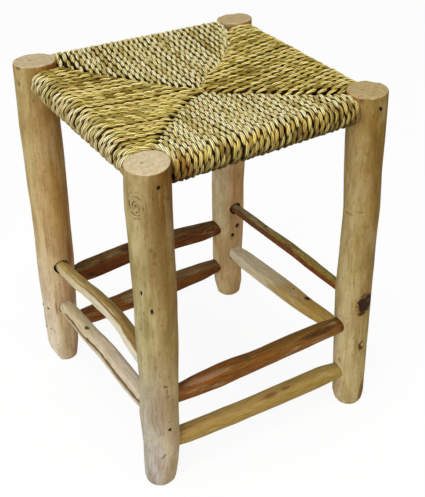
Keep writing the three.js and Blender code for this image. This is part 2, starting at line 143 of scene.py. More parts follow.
# The share of a stretcher over which a groove fades in, and the depth from which its painted shade is at full
# strength
GROOVE_FADE = 0.05
GROOVE_FULL = 1.5
STRETCHERS = {
    "stretcher_left_upper": {
        "ends": ("leg_back_left", "leg_front_left"), "bow": 0,
        "line": [
            (0, 166, 8.7), (0.09, 166.5, 8.9), (0.2, 169, 9.2), (0.31, 173, 9.5), (0.41, 179, 9.8),
            (0.5, 183, 9.8), (0.61, 184.5, 9.8), (0.7, 182.5, 10.2), (0.77, 176.5, 11.4), (0.85, 172, 11.8),
            (0.92, 169, 11), (1, 167, 10.4),
        ],
        "flats": [(62, 0.8), (176, 0.84), (-60, 0.92)],
        "holes": ((10.9, -1.5, 1.4), (11.4, 0, 0)),
        "grooves": [([(0.1, 128), (0.5, 130), (0.9, 126)], 0.9, 0.8)], "seed": 21,
    },
    "stretcher_left_lower": {
        "ends": ("leg_back_left", "leg_front_left"), "bow": 1,
        "line": [
            (0, 99, 9.5), (0.09, 99.3, 9.8), (0.17, 99.8, 11), (0.4, 101.8, 11.6), (0.7, 102.2, 12.3),
            (0.84, 103, 12.3), (0.92, 103.2, 10.8), (1, 103.4, 10.4),
        ],
        "flats": [(88, 0.86), (150, 0.93), (-120, 0.9)],
        "holes": ((10.5, 0, 0), (11.2, 0, 0)),
        "grooves": [
            (
                [(0.1, 184), (0.3, 173), (0.43, 168), (0.53, 172), (0.65, 173), (0.78, 170), (0.94, 169)],
                2.5, 2.2,
            ),
        ],
        "seed": 22,
    },
    "stretcher_right_upper": {
        "ends": ("leg_back_right", "leg_front_right"), "bow": 0,
        "line": [
            (0, 163.6, 6.6), (0.09, 164, 6.8), (0.2, 164.8, 7.1), (0.55, 167, 7.6), (0.8, 167.2, 7.1),
            (0.92, 167, 6.8), (1, 166.8, 6.6),
        ],
        "flats": [(60, 0.86), (190, 0.86)], "holes": ((9.2, -1.6, 1.2), (7.6, 0, 0)), "grooves": [],
        "seed": 23,
    },
    "stretcher_right_lower": {
        "ends": ("leg_back_right", "leg_front_right"), "bow": -1,
        "line": [
            (0, 85, 10.4), (0.09, 85.8, 10.8), (0.17, 86.8, 13.2), (0.5, 92.4, 13.2), (0.7, 95.6, 11.9),
            (0.84, 98.8, 10.8), (0.92, 99.6, 9.6), (1, 100, 9.4),
        ],
        "flats": [(110, 0.92), (185, 0.95)], "holes": ((11.4, 0, 0), (10.3, 0, 0)), "grooves": [],
        "seed": 24,
    },
    "stretcher_back_upper": {
        "ends": ("leg_back_left", "leg_back_right"), "bow": 0,
        "line": [
            (0, 129, 11), (0.09, 129.6, 11.6), (0.16, 131, 14.6), (0.4, 135, 14.3), (0.66, 131.4, 14.2),
            (0.84, 128, 13.4), (0.92, 127, 11.2), (1, 126.4, 10.6),
        ],
        "flats": [(90, 0.84), (185, 0.86), (-80, 0.9)],
        "holes": ((11.9, 0, 0), (11.6, 0, 0)), "grooves": [([(0.2, 140), (0.7, 136)], 0.8, 0.8)],
        "seed": 25,
    },
    "stretcher_back_lower": {
        "ends": ("leg_back_left", "leg_back_right"), "bow": 0,
        "line": [
            (0, 53, 9.6), (0.09, 52.8, 10), (0.17, 52, 12.6), (0.42, 52.8, 14), (0.67, 53.8, 14.2),
            (0.84, 56.2, 12.8), (0.92, 57, 10), (1, 57.4, 9.6),
        ],
        "flats": [(95, 0.86), (180, 0.9)], "holes": ((10.5, 0, 0), (10.6, 0, 0)),
        "grooves": [([(0.2, 190), (0.8, 186)], 0.8, 0.7)], "seed": 26,
    },
    "stretcher_front_upper": {
        "ends": ("leg_front_left", "leg_front_right"), "bow": 0,
        "line": [
            (0, 127.4, 10), (0.08, 127.6, 10.4), (0.16, 128.2, 12.4), (0.3, 128, 14), (0.5, 129.5, 12.4),
            (0.84, 130.6, 12), (0.92, 130.8, 10.2), (1, 131, 9.8),
        ],
        "flats": [(80, 0.86), (190, 0.88), (-70, 0.92)],
        "holes": ((10.9, 0, 0), (10.7, 0, 0)),
        "grooves": [([(0.15, 200), (0.8, 196)], 0.9, 0.8), ([(0.3, 160), (0.9, 164)], 0.7, 0.6)],
        "seed": 27,
    },
    "stretcher_front_lower": {
        "ends": ("leg_front_left", "leg_front_right"), "bow": 0,
        "line": [
            (0, 59, 10.4), (0.065, 58.8, 10.8), (0.09, 58.6, 12.6), (0.5, 56, 12.5), (0.84, 55.8, 12.4),
            (0.92, 55.8, 10.2), (1, 55.8, 9.8),
        ],
        "flats": [(90, 0.88), (200, 0.92)], "holes": ((11.3, 0, 0), (10.7, 0, 0)), "grooves": [],
        "seed": 28,
    },
}
# A mortise's cutter starts outside the leg, is ragged down to the mortise's depth, and narrower behind it
HOLE_OUTSIDE = 8
HOLE_MOUTH = 2
HOLE_DEPTH = 13
HOLE_STEP = 0.1
HOLE_CORE_GAP = 0.3
HOLE_AROUND = 40
HOLE_RAGGED = 0.35
HOLE_SEED = 50
# Which of a leg's faces are its mortise's walls: this near to the hole and at most this far behind the leg's
# axis, and either turned to the hole or within this share of the leg's radius
WALL_MARGIN = 0.8
WALL_BEHIND = 8
INSIDE_SHARE = 0.72
# A leg's edges are shaded as sharp from this many degrees
SHARP_FROM = 42

# The nails, with their profile as (distance out along the nail, share of the head's radius)
NAIL_AROUND = 20
NAIL_HEAD_SHARE = 0.85
NAIL_PROFILE = (
    (-26, 0.15), (-22, 0.5), (-1.6, 0.52), (-0.9, 0.6), (-0.6, 0.98), (-0.1, 1.04), (0.25, 0.95), (0.45, 0.7),
    (0.5, 0.35),
)

# The seat's winding, and the middle and half sizes of the dip in its top
RAIL_HEIGHT = 437
ROLL_RADIUS = 14.3
SEAT_DIP = 9.2
DIP_MIDDLE = 1
DIP_HALF = (149, 143)
# The cord's two plies: how far each lies from the cord's middle, and its half sizes
PLY_OFFSET = 1.62
PLY_RADIAL = 2.2
PLY_ACROSS = 2.5
# Each ply is a bundle of leaf strips, with a crease between each two
STRIPS = 6
STRIP_CREASE = 0.74
STRIP_CREST = 1.1
# How many times the strips turn back within their ply for each turn of the cord
LEAF_TWIST = 1.15
CORD_STEP = 2.05
CORD_LAY = 25.0
CORD_FROM_LEG = 3.8
CORD_WIDTH = 7.5
# How far the cords differ in their share of the width, their lean on the roll, and the lay of their twist
WIDTH_VARIES = 0.13
LEAN_VARIES = 1.2
LAY_VARIES = (0.9, 1.12)
# Each cord's twist starts PHASE_STEP radians on from the last one's, give or take PHASE_VARIES
PHASE_STEP, PHASE_VARIES = 0.9, 0.5
# How a cord's twist, thickness and tone and its strips' heights vary along it, as (how far, in what length)
TWIST_VARIES, THICKNESS_VARIES = (0.7, 30), (0.05, 15)
TONE_VARIES, STRIPS_VARY = (0.4, 26), (0.07, 8)
# How much of a strip's tone comes from its cord and from its ply, and the length of its fibres
CORD_TONE, PLY_TONE = 0.5, 0.35
FIBRE_LENGTH = 9
# How much prouder a panel's outermost cords count on their outer side, where less painted shade then falls
EDGE_PROUD = 0.6
# A cord comes to its full thickness from and over these lengths, and its ends are thinner over END_LENGTH
THICK_FROM, THICK_OVER = 8, 26
END_LENGTH, END_THIN = 3, 0.55
# The places of a cord's five colours on their ramp
CORD_TONES = (0.26, 0.4, 0.5, 0.6, 0.74)
# How far outside its legs' clearance, and its mitres' outer ends, a panel's row of cords starts
PANEL_OVERHANG = 4
# A cord dives under the others at its mitre, as (along the rail, towards it, height), and comes up at
# (most distance, share of the way to the rail, height): first for cords of a panel's first half
DIVES = (
    ((0, -18, -8.4), (0, -10, -7.6), (0, -4.2, -4.4)),
    ((10.5, 4.5, -9.2), (5.6, 1.6, -6.8), (1.8, 1.2, -2.8)),
)
COMES_UP = ((1.5, 0.2, -0.8), (5.5, 0.35, -0.2))
ROLL_DEGREES = (90, 62, 34, 6, -22, -50, -76)
# A strand's curve: the steps between its points on top and below, where it starts out from the mitre and
# bends before the rail, as (most distance, share of its length), how much deeper it lies at the mitre, how
# far it hangs below, and its last points, as (towards the rail, height)
TOP_STEP, LOW_STEP, LOW_END_GAP = 9, 22, 0.7
STARTS, BENDS = (9, 0.5), (24, 0.45)
MITRE_SINK, LOW_SAG = 1.0, 1.5
ENDS_BELOW = ((2, 1.5), (-5, 6.5))
# How a strand sways aside and lifts on top, as (how far, in what length), the share of it left at its ends,
# and how it sways round the roll, as (how far, in how many degrees)
SWAYS, LIFTS = (0.7, 22), (0.55, 17)
LEAST_SWAY = 0.2
ROLL_SWAYS = (0.5, 45)
# The lines on which the panels meet, from each leg to the middle, in plan
MITRES = {
    "front_left": [(-121, -116), (-58, -54), (-22, -26), (4, -17)],
    "back_left": [(-116, 121), (-92, 89), (-52, 48), (-20, 12), (2, -5)],
    "front_right": [(119, -121), (90, -97), (66, -75), (48, -55), (38, -46), (20, -34), (4, -17)],
    "back_right": [(117, 112), (97, 77), (60, 42), (22, 18), (2, -5)],
}
SEAT_MIDDLE = (4, -11)
# Each panel runs from its first leg's corner to its second leg's. counts holds the cords of its two halves,
# rail_middle where they part, rise how far its first and last cords are raised, pinch how thin cords start,
# and grooves the wider gaps, as {after this cord: how wide}. A ridge's mitres run on to SEAT_MIDDLE.
PANELS = {
    "front": {
        "legs": ("leg_front_left", "leg_front_right"), "along": (1, 0), "ridge": False, "counts": (17, 17),
        "rail_middle": -3, "rise": (0, 0), "pinch": (0.96, 0.92), "size": 0.98, "grooves": {7: 1.0, 16: 1.1},
        "seed": 31,
    },
    "left": {
        "legs": ("leg_back_left", "leg_front_left"), "along": (0, -1), "ridge": True, "counts": (15, 13),
        "rail_middle": -12, "rise": (1, 0), "pinch": (0.94, 0.98), "size": 1.1,
        "grooves": {14: 1.6, 17: 1.0, 21: 1.8, 25: 1.2}, "seed": 32,
    },
    "rear": {
        "legs": ("leg_back_right", "leg_back_left"), "along": (-1, 0), "ridge": False, "counts": (16, 16),
        "rail_middle": 0, "rise": (-0.5, 6), "pinch": (0.94, 0.72), "size": 0.99, "grooves": {}, "seed": 33,
    },
    "right": {
        "legs": ("leg_front_right", "leg_back_right"), "along": (0, 1), "ridge": True, "counts": (14, 14),
        "rail_middle": 2, "rise": (0, -1), "pinch": (0.8, 0.95), "size": 1.08,
        "grooves": {3: 1.0, 12: 1.0, 14: 2.0, 17: 2.2, 20: 1.4}, "seed": 34,
    },
}


class Noise:
    """Smooth random values from -1 to 1 over a repeating lattice, the same on each run for one seed.

    A number added to the points only picks another place in it.
    """

    CELLS = 32

    def __init__(self, seed):
        self.lattice = np.random.default_rng(seed).uniform(-1, 1, (self.CELLS,) * 3)

    def __call__(self, points):
        cell = np.floor(points).astype(int)
        part = points - cell
        part = part * part * (3 - 2 * part)
        total = np.zeros(points.shape[:-1])
        for corner in np.ndindex(2, 2, 2):
            at = (cell + corner) % self.CELLS
            weight = np.prod(np.where(corner, part, 1 - part), axis=-1)
            total += weight * self.lattice[at[..., 0], at[..., 1], at[..., 2]]
        return total

    def along(self, run, reach, second=0.0, third=0.0):
        """Changes along a line at a place of its own, reach being (how far, in what length of the run)."""
        return reach[0] * self(np.stack([run / reach[1], run * 0 + second, run * 0 + third], -1))


def unit(vector):
    return vector / np.linalg.norm(vector)


def turn_of(count):
    """The angles of a full turn in equal steps."""
    return np.linspace(0, 2 * np.pi, count, endpoint=False)


def as_object(name, points, faces, attributes=()):
    """A smooth mesh object from points in millimetres, with point attributes given as (name, values)."""
    mesh = bpy.data.meshes.new(name)
    mesh.from_pydata((np.asarray(points) * MM).tolist(), [], faces)
    for label, values in attributes:
        kind, field = ("FLOAT_VECTOR", "vector") if np.ndim(values) == 2 else ("FLOAT", "value")
        made = mesh.attributes.new(label, kind, "POINT")
        made.data.foreach_set(field, np.asarray(values, np.float32).ravel())
    mesh.shade_smooth()
    mesh.update()
    thing = bpy.data.objects.new(name, mesh)
    bpy.context.scene.collection.objects.link(thing)
    return thing


def stacked_faces(rings, around):
    """Quads between rings of points, with a fan to one more point at each end."""
    faces = []
    for i in range(rings - 1):
        low, high = i * around, (i + 1) * around
        for j in range(around):
            k = (j + 1) % around
            faces.append((low + j, low + k, high + k, high + j))
    first, last = rings * around, rings * around + 1
    top = (rings - 1) * around
    for j in range(around):
        k = (j + 1) % around
        faces.append((first, k, j))
        faces.append((last, top + j, top + k))
    return faces


def leg_centre(name, z):
    """The middle of a leg at a height, in plan, with the pole's crookedness along the picture's width."""
    leg = LEGS[name]
    share = np.asarray(z) / leg["top"][2]
    shape = np.array(leg["shape"])
    aside = np.interp(z, shape[:, 0], shape[:, 1])
    foot, top = leg["foot"], leg["top"]
    plan = [foot[k] + (top[k] - foot[k]) * share + aside * PICTURE_RIGHT[k] for k in (0, 1)]
    return np.stack(plan, -1)


def leg_radius(name, z):
    shape = np.array(LEGS[name]["shape"])
    return np.interp(z, shape[:, 0], shape[:, 2])


def smooth_curve(points, step):
    """Points a step apart on a Catmull-Rom curve through the given ones, and how far along it each is."""
    points = np.asarray(points, float)
    padded = np.vstack([2 * points[0] - points[1], points, 2 * points[-1] - points[-2]])
    t = np.linspace(0, 1, 10, endpoint=False)[:, None]
    dense = []
    for i in range(len(points) - 1):
        a, b, c, d = padded[i : i + 4]
        dense.append(
            0.5 * (2 * b + (c - a) * t + (2 * a - 5 * b + 4 * c - d) * t**2 + (3 * b - a - 3 * c + d) * t**3)
        )
    dense = np.vstack([*dense, points[-1:]])
    run = np.concatenate([[0], np.cumsum(np.linalg.norm(np.diff(dense, axis=0), axis=1))])
    at = np.linspace(0, run[-1], max(4, int(round(run[-1] / step)) + 1))
    return np.stack([np.interp(at, run, dense[:, k]) for k in range(3)], -1), at


def cut_holes(thing, cutters):
    """The closed cutters are taken out of the thing's mesh, and removed."""
    for cutter in cutters:
        modifier = thing.modifiers.new("hole", "BOOLEAN")
        modifier.operation = "DIFFERENCE"
        modifier.solver = "MANIFOLD"
        modifier.object = cutter
    graph = bpy.context.evaluated_depsgraph_get()
    mesh = bpy.data.meshes.new_from_object(thing.evaluated_get(graph))
    thing.modifiers.clear()
    old, thing.data = thing.data, mesh
    mesh.name = thing.name
    bpy.data.meshes.remove(old)
    for cutter in cutters:
        bpy.data.objects.remove(cutter)
    mesh.set_sharp_from_angle(angle=math.radians(SHARP_FROM))


def build_leg(name):
    leg = LEGS[name]
    middle, cut, top_z = np.array(leg["top"][:2]), np.array(leg["cut"]), leg["top"][2]
    noise, fine = Noise(leg["seed"]), Noise(leg["seed"] + FINE_SEED)
    body = np.arange(BODY_FROM, top_z - BODY_BELOW_TOP, BODY_STEP)
    levels = np.concatenate([FOOT_LEVELS, body, top_z - np.array(TOP_DEPTHS)])
    drawn_in, chipped = np.zeros((2, len(levels)))
    drawn_in[-len(TOP_DEPTHS) :] = RIM_DRAWN_IN
    chipped[-len(TOP_DEPTHS) :] = CHIP_DEPTHS
    z = levels[:, None] * np.ones(LEG_AROUND)
    theta = turn_of(LEG_AROUND)[None, :] * np.ones((len(levels), 1))
    two, three = LEG_OVAL
    oval = 1 + two * np.cos(2 * theta + leg["top"][0]) + three * np.cos(3 * theta + leg["top"][1])
    around = np.stack([np.cos(theta), np.sin(theta)], -1)
    chips = np.maximum(fine(np.concatenate([around * 2.4, theta[..., None] * 0 + 40], -1)) - CHIP_FROM, 0)
    drawn_in = drawn_in[:, None] + chips * chipped[:, None]
    radius = (leg_radius(name, levels)[:, None] - drawn_in) * oval
    at = np.concatenate([around * 1.15, z[..., None] / LEG_WAVE_LENGTH], -1)
    waves, knife, bark = LEG_RELIEF
    radius = radius + waves * noise(at + 3) + knife * fine(at * [3, 3, 2.2])
    radius = radius + bark * fine(at * [9, 9, 2.5] + 7)
    centre = leg_centre(name, levels)
    points = np.concatenate([centre[:, None, :] + radius[..., None] * around, z[..., None]], -1)
    lean = np.clip((points[..., 2] - LEAN_FROM * top_z) / (LEAN_OVER * top_z), 0, 1)
    points[..., 2] += lean * ((points[..., :2] - middle) @ cut)
    for place, way in leg["shaved"]:
        way = unit(np.array(way))
        beyond = (points - np.array(place)) @ way
        beyond = np.maximum(beyond + SHAVED_RAGGED * fine(points / 6), 0)
        points -= beyond[..., None] * way
    points[..., 2] = np.maximum(points[..., 2], 0)
    rim = points[-1]
    discs = []
    for share in SAWN_RINGS:
        ring = rim.copy()
        ring[:, :2] = middle + (rim[:, :2] - middle) * share
        flat = top_z + (ring[:, :2] - middle) @ cut
        saw = SAW_MARKS * fine(np.stack([ring[:, 0] * 0.5, ring[:, 1] * 0.12, flat * 0], -1))
        ring[:, 2] = flat + SAWN_RISE + saw
        discs.append(ring)
    rings = np.concatenate([points, discs])
    caps = [np.array([*centre[0], 0.0]), np.array([*middle, top_z + SAWN_RISE])]
    flat_points = np.vstack([rings.reshape(-1, 3), caps])
    thing = as_object(name + "_pole", flat_points, stacked_faces(len(rings), LEG_AROUND))
    holes = [(other, end) for other in STRETCHERS for end in (0, 1) if STRETCHERS[other]["ends"][end] == name]
    cut_holes(thing, [hole_cutter(*hole) for hole in holes])
    mark_insides(thing, name, holes)
    return thing


def stretcher_axis(name):
    """The two ends of a stretcher's straight line, on the leg axes at its own heights."""
    spec = STRETCHERS[name]
    heights = spec["line"][0][1], spec["line"][-1][1]
    return [np.append(leg_centre(leg, z), z) for leg, z in zip(spec["ends"], heights)]


def mortise(name, end):
    """The stretcher's end on the leg's axis, the ways out, aside and up, and the hole's middle and radius."""
    ends = stretcher_axis(name)
    here, there = ends[end], ends[1 - end]
    way = there - here
    way[2] = 0
    way = unit(way)
    side = np.cross(UP, way) * (1 - 2 * end)
    radius, aside, rise = STRETCHERS[name]["holes"][end]
    return here, way, side, UP, here + side * aside + UP * rise, radius


def hole_cutter(name, end):
    """A closed round cutter for one stretcher's mortise, which starts outside the leg and ends inside it."""
    spec = STRETCHERS[name]
    here, way, side, up, middle, radius = mortise(name, end)
    surface = leg_radius(spec["ends"][end], here[2])
    angles = turn_of(HOLE_AROUND)
    around = np.stack([np.cos(angles), np.sin(angles), angles * 0], -1)
    ragged = radius + HOLE_RAGGED * Noise(spec["seed"] + end + HOLE_SEED)(around * 1.6)
    tight = np.minimum(ragged, spec["line"][-end][2] + HOLE_CORE_GAP)
    outer, deep, inner = surface + HOLE_OUTSIDE, surface - HOLE_DEPTH, -STRETCHER_PAST_AXIS - 1
    rings = []
    for about, out, reach in (
        (middle, outer, ragged),
        (middle, surface - HOLE_MOUTH, ragged),
        (middle, deep, ragged),
        (here, deep - HOLE_STEP, tight),
        (here, inner, tight),
    ):
        ring = about + way * out + np.outer(around[:, 0] * reach, side)
        rings.append(ring + np.outer(around[:, 1] * reach, up))
    faces = stacked_faces(len(rings), HOLE_AROUND)
    if end == 0:
        faces = [face[::-1] for face in faces]
    cutter = as_object("cutter", np.vstack([*rings, middle + way * outer, here + way * inner]), faces)
    cutter.hide_render = True
    return cutter


def mark_insides(thing, leg, holes):
    """A face attribute that is 1 on the walls of a leg's mortises, which are painted near black as painted
    shade, and 0 on the leg's own surface.
    """
    faces = thing.data.polygons
    centres, normals = np.zeros(len(faces) * 3), np.zeros(len(faces) * 3)
    faces.foreach_get("center", centres)
    faces.foreach_get("normal", normals)
    centres, normals = centres.reshape(-1, 3) / MM, normals.reshape(-1, 3)
    from_axis = np.linalg.norm(centres[:, :2] - leg_centre(leg, centres[:, 2]), axis=1)
    inner = from_axis < INSIDE_SHARE * leg_radius(leg, centres[:, 2])
    inside = np.zeros(len(faces), np.float32)
    for name, end in holes:
        _, way, _, _, middle, radius = mortise(name, end)
        away = centres - middle
        out = away @ way
        off = np.linalg.norm(away - out[:, None] * way, axis=1)
        across = np.abs(normals @ way) < 0.5
        inside[(off < radius + WALL_MARGIN) & (out > -WALL_BEHIND) & (across | inner)] = 1
    made = thing.data.attributes.new("inside", "FLOAT", "FACE")
    made.data.foreach_set("value", inside)


def build_stretcher(name):
    spec = STRETCHERS[name]
    start, stop = stretcher_axis(name)
    span = np.linalg.norm(stop - start)
    way = (stop - start) / span
    side = unit(np.cross([0, 0, 1.0], way))
    line = np.array(spec["line"])
    past = STRETCHER_PAST_AXIS / span
    share = np.arange(-past, 1 + past, STRETCHER_STEP / span)
    noise, fine = Noise(spec["seed"]), Noise(spec["seed"] + FINE_SEED)

    def along_line(column):
        values = np.interp(share, line[:, 0], line[:, column])
        return np.convolve(np.pad(values, 4, mode="edge"), np.ones(9) / 9, mode="valid")

    height, radius = along_line(1), along_line(2)
    aside = np.interp(share, (0, 0.5, 1), (0.0, spec["bow"], 0.0))
    run = share * span
    centre = start + np.outer(run, way)
    centre[:, 2] = height + noise.along(run, ROD_RISES)
    centre += np.outer(aside + noise.along(run, ROD_SWAYS, 5), side)
    theta = turn_of(STRETCHER_AROUND)[None, :] * np.ones((len(share), 1))
    reach = np.ones_like(theta)
    for k, (angle, depth) in enumerate(spec["flats"]):
        drift = noise.along(run, FLAT_TURNS, 4 * k, 7)[:, None]
        facing = np.cos(theta - math.radians(angle) - drift)
        vary = noise.along(run, FLAT_VARIES, 9 * k, 2)[:, None]
        plane = np.where(facing > FACET_LEAST_COS, (depth + vary) / np.maximum(facing, FACET_LEAST_COS), 9)
        reach = -np.log(np.exp(-FACET_SHARPNESS * reach) + np.exp(-FACET_SHARPNESS * plane)) / FACET_SHARPNESS
    reach += FACET_ROUNDING
    lengthwise = (run / STRETCHER_WAVE_LENGTH)[:, None] + 0 * theta
    around = np.stack([np.cos(theta) * 1.2, np.sin(theta) * 1.2, lengthwise], -1)
    waves, knife, bark = STRETCHER_RELIEF
    bumps = waves * noise(around + 11) + knife * fine(around * [3, 3, 2.5])
    bumps = bumps + bark * fine(around * [9, 9, 1.2] + 5)
    size = radius[:, None] * reach + bumps
    split = np.zeros_like(size)
    for k, (path, half_width, depth) in enumerate(spec["grooves"]):
        path = np.array(path, float)
        angle = np.radians(np.interp(share, path[:, 0], path[:, 1]))[:, None]
        wander = noise.along(run, GROOVE_TURNS, 5 * k, 3)[:, None]
        turned = (theta - angle - wander + np.pi) % (2 * np.pi) - np.pi
        ragged = 1 + fine.along(run, GROOVE_VARIES, 5 * k, 9)[:, None]
        begin, end = path[0, 0], path[-1, 0]
        fade_places = [begin, begin + GROOVE_FADE, end - GROOVE_FADE, end]
        fade = np.interp(share, fade_places, [0, 1, 1, 0])[:, None]
        cut = np.exp(-((turned * size / (half_width * ragged)) ** 2)) * fade
        size = size - depth * cut
        split = np.maximum(split, cut * min(1, depth / GROOVE_FULL))
    points = centre[:, None, :] + (np.cos(theta) * size)[..., None] * side
    points = points + (np.sin(theta) * size)[..., None] * UP
    flat_points = np.vstack([points.reshape(-1, 3), centre[0], centre[-1]])
    faces = stacked_faces(len(share), STRETCHER_AROUND)
    split = np.append(split.ravel(), [0, 0])
    along = np.append(np.repeat(share, STRETCHER_AROUND), [0, 1])
    return as_object(name + "_rod", flat_points, faces, [("split", split), ("along", along)])


def along_mitre(corner, axis, value, with_ridge):
    """The point of a mitre whose coordinate on one axis has a value."""
    line = np.array(MITRES[corner] + [SEAT_MIDDLE] * with_ridge, float)
    order = np.argsort(line[:, axis])
    other = np.interp(value, line[order, axis], line[order, 1 - axis])
    return np.array([value, other] if axis == 0 else [other, value])


def seat_height(plan):
    """How high a cord's middle lies on top of the seat, which dips towards its centre."""
    across, deep = (1 - np.clip(abs(plan[k] - DIP_MIDDLE) / DIP_HALF[k], 0, 1) ** 2 for k in (0, 1))
    return float(RAIL_HEIGHT + ROLL_RADIUS - SEAT_DIP * across * deep)


def strand_path(along, out, rail_at, rise, mitre_at, side, noise, index, lean, shift):
    """A cord's middle line from under the mitre, over the top, round the rail and back to the mitre below."""
    away = rail_at - mitre_at
    length = np.linalg.norm(away)
    away /= length
    top = seat_height(mitre_at) - MITRE_SINK
    points = [[*(mitre_at + along * u + away * v), top + z] for u, v, z in DIVES[side]]
    reach, share, z = COMES_UP[side]
    points.append([*(mitre_at + away * min(reach, length * share)), top + z])
    begin = mitre_at + away * min(STARTS[0], length * STARTS[1])
    bend = rail_at - out * min(BENDS[0], length * BENDS[1])
    steps = max(2, int(length / TOP_STEP))
    for i in range(steps):
        t = i / steps
        plan = (1 - t) ** 2 * begin + 2 * t * (1 - t) * bend + t * t * rail_at
        sway = noise.along(plan @ out, SWAYS, index * 0.7, 0.3)
        lift = noise.along(plan @ out, LIFTS, index * 0.6, 8.1)
        fade = min(1, 4 * t * (1 - t) + LEAST_SWAY)
        height = seat_height(plan) + lift * fade + rise * t * t
        points.append([*(plan + along * sway * fade), height])
    for degrees in ROLL_DEGREES:
        turn = math.radians(degrees)
        aside = lean * (90 - degrees) / 90 + noise.along(degrees, ROLL_SWAYS, index * 0.7, 5.3)
        plan = rail_at + out * ROLL_RADIUS * math.cos(turn) + along * aside
        points.append([*plan, RAIL_HEIGHT + rise + ROLL_RADIUS * math.sin(turn)])
    low = RAIL_HEIGHT + rise - ROLL_RADIUS
    steps = max(1, int(length / LOW_STEP))
    for i in range(1, steps + 1):
        t = i / (steps + LOW_END_GAP)
        plan = rail_at + (mitre_at - rail_at) * t + along * shift
        points.append([*plan, low - LOW_SAG * math.sin(math.pi * t) ** 2])
    points += [[*(mitre_at + away * v + along * shift), low + z] for v, z in ENDS_BELOW]
    return points


def transported_frames(line):
    """Tangents, and two cross directions that don't spin, along a line."""
    tangent = np.gradient(line, axis=0)
    tangent /= np.linalg.norm(tangent, axis=1)[:, None]
    normal = np.zeros_like(line)
    normal[0] = unit(np.cross(tangent[0], [0.3, 0.2, 0.93]))
    for i in range(1, len(line)):
        normal[i] = unit(normal[i - 1] - tangent[i] * (normal[i - 1] @ tangent[i]))
    return tangent, normal, np.cross(tangent, normal)


def spread(low, high, widths, gaps):
    """Places between two ends for cords of these widths, with these wider gaps between them."""
    places = np.cumsum(widths) - widths / 2
    places = places + np.concatenate([[0], np.cumsum(gaps / CORD_WIDTH)])
    total = places[-1] + widths[-1] / 2
    return low + (high - low) * places / total


def cord_places(panel, legs, axis, sign, widths):
    """Where each cord of a panel crosses its rail and meets its mitre, along the rail."""
    gaps = np.zeros(len(widths) - 1)
    for after, extra in panel["grooves"].items():
        gaps[after - 1] = extra
    first = panel["counts"][0]
    halves = (slice(first), gaps[: first - 1]), (slice(first, None), gaps[first:])
    rails, mitres = [], []
    for side, (part, gap) in enumerate(halves):
        way = sign * (1 - 2 * side)
        rail_end = legs[side][axis] + way * (leg_radius(panel["legs"][side], RAIL_HEIGHT) + CORD_FROM_LEG)
        mitre = MITRES[panel["legs"][side].removeprefix("leg_")]
        inner_mitre = SEAT_MIDDLE[axis] if panel["ridge"] else mitre[-1][axis]
        for found, outer, inner in (
            (rails, rail_end, panel["rail_middle"]),
            (mitres, float(mitre[0][axis]), inner_mitre),
        ):
            ends = outer - way * PANEL_OVERHANG, inner
            found.extend(spread(*(ends[::-1] if side else ends), widths[part], gap))
    return rails, mitres


def cord_thickness(panel, side, run, noise, index):
    """A cord's thickness along its run: thin where it starts under the others, and thinner at both ends."""
    pinch = panel["pinch"][side]
    ease = np.clip((run - THICK_FROM) / THICK_OVER, 0, 1)
    thick = panel["size"] * (pinch + (1 - pinch) * ease * ease * (3 - 2 * ease))
    thick = thick * (1 + noise.along(run, THICKNESS_VARIES, 0.7 * index, 4))
    end_places = [0, END_LENGTH, run[-1] - END_LENGTH, run[-1]]
    return thick * np.interp(run, end_places, [END_THIN, 1, 1, END_THIN])


def seat_surface(line, out, rail_at):
    """The ways straight out of the seat along a cord, and its place: 0 on top, 1 at the edge and 2 below."""
    height = line[:, 2] - RAIL_HEIGHT
    turned = np.clip((line[:, :2] @ out - rail_at @ out) / ROLL_RADIUS, 0, 1)
    upward = np.sign(height) * np.sqrt(1 - turned**2)
    outside = np.concatenate([np.outer(turned, out), upward[:, None]], 1)
    return outside, np.where(height < 0, 2 - turned, turned)


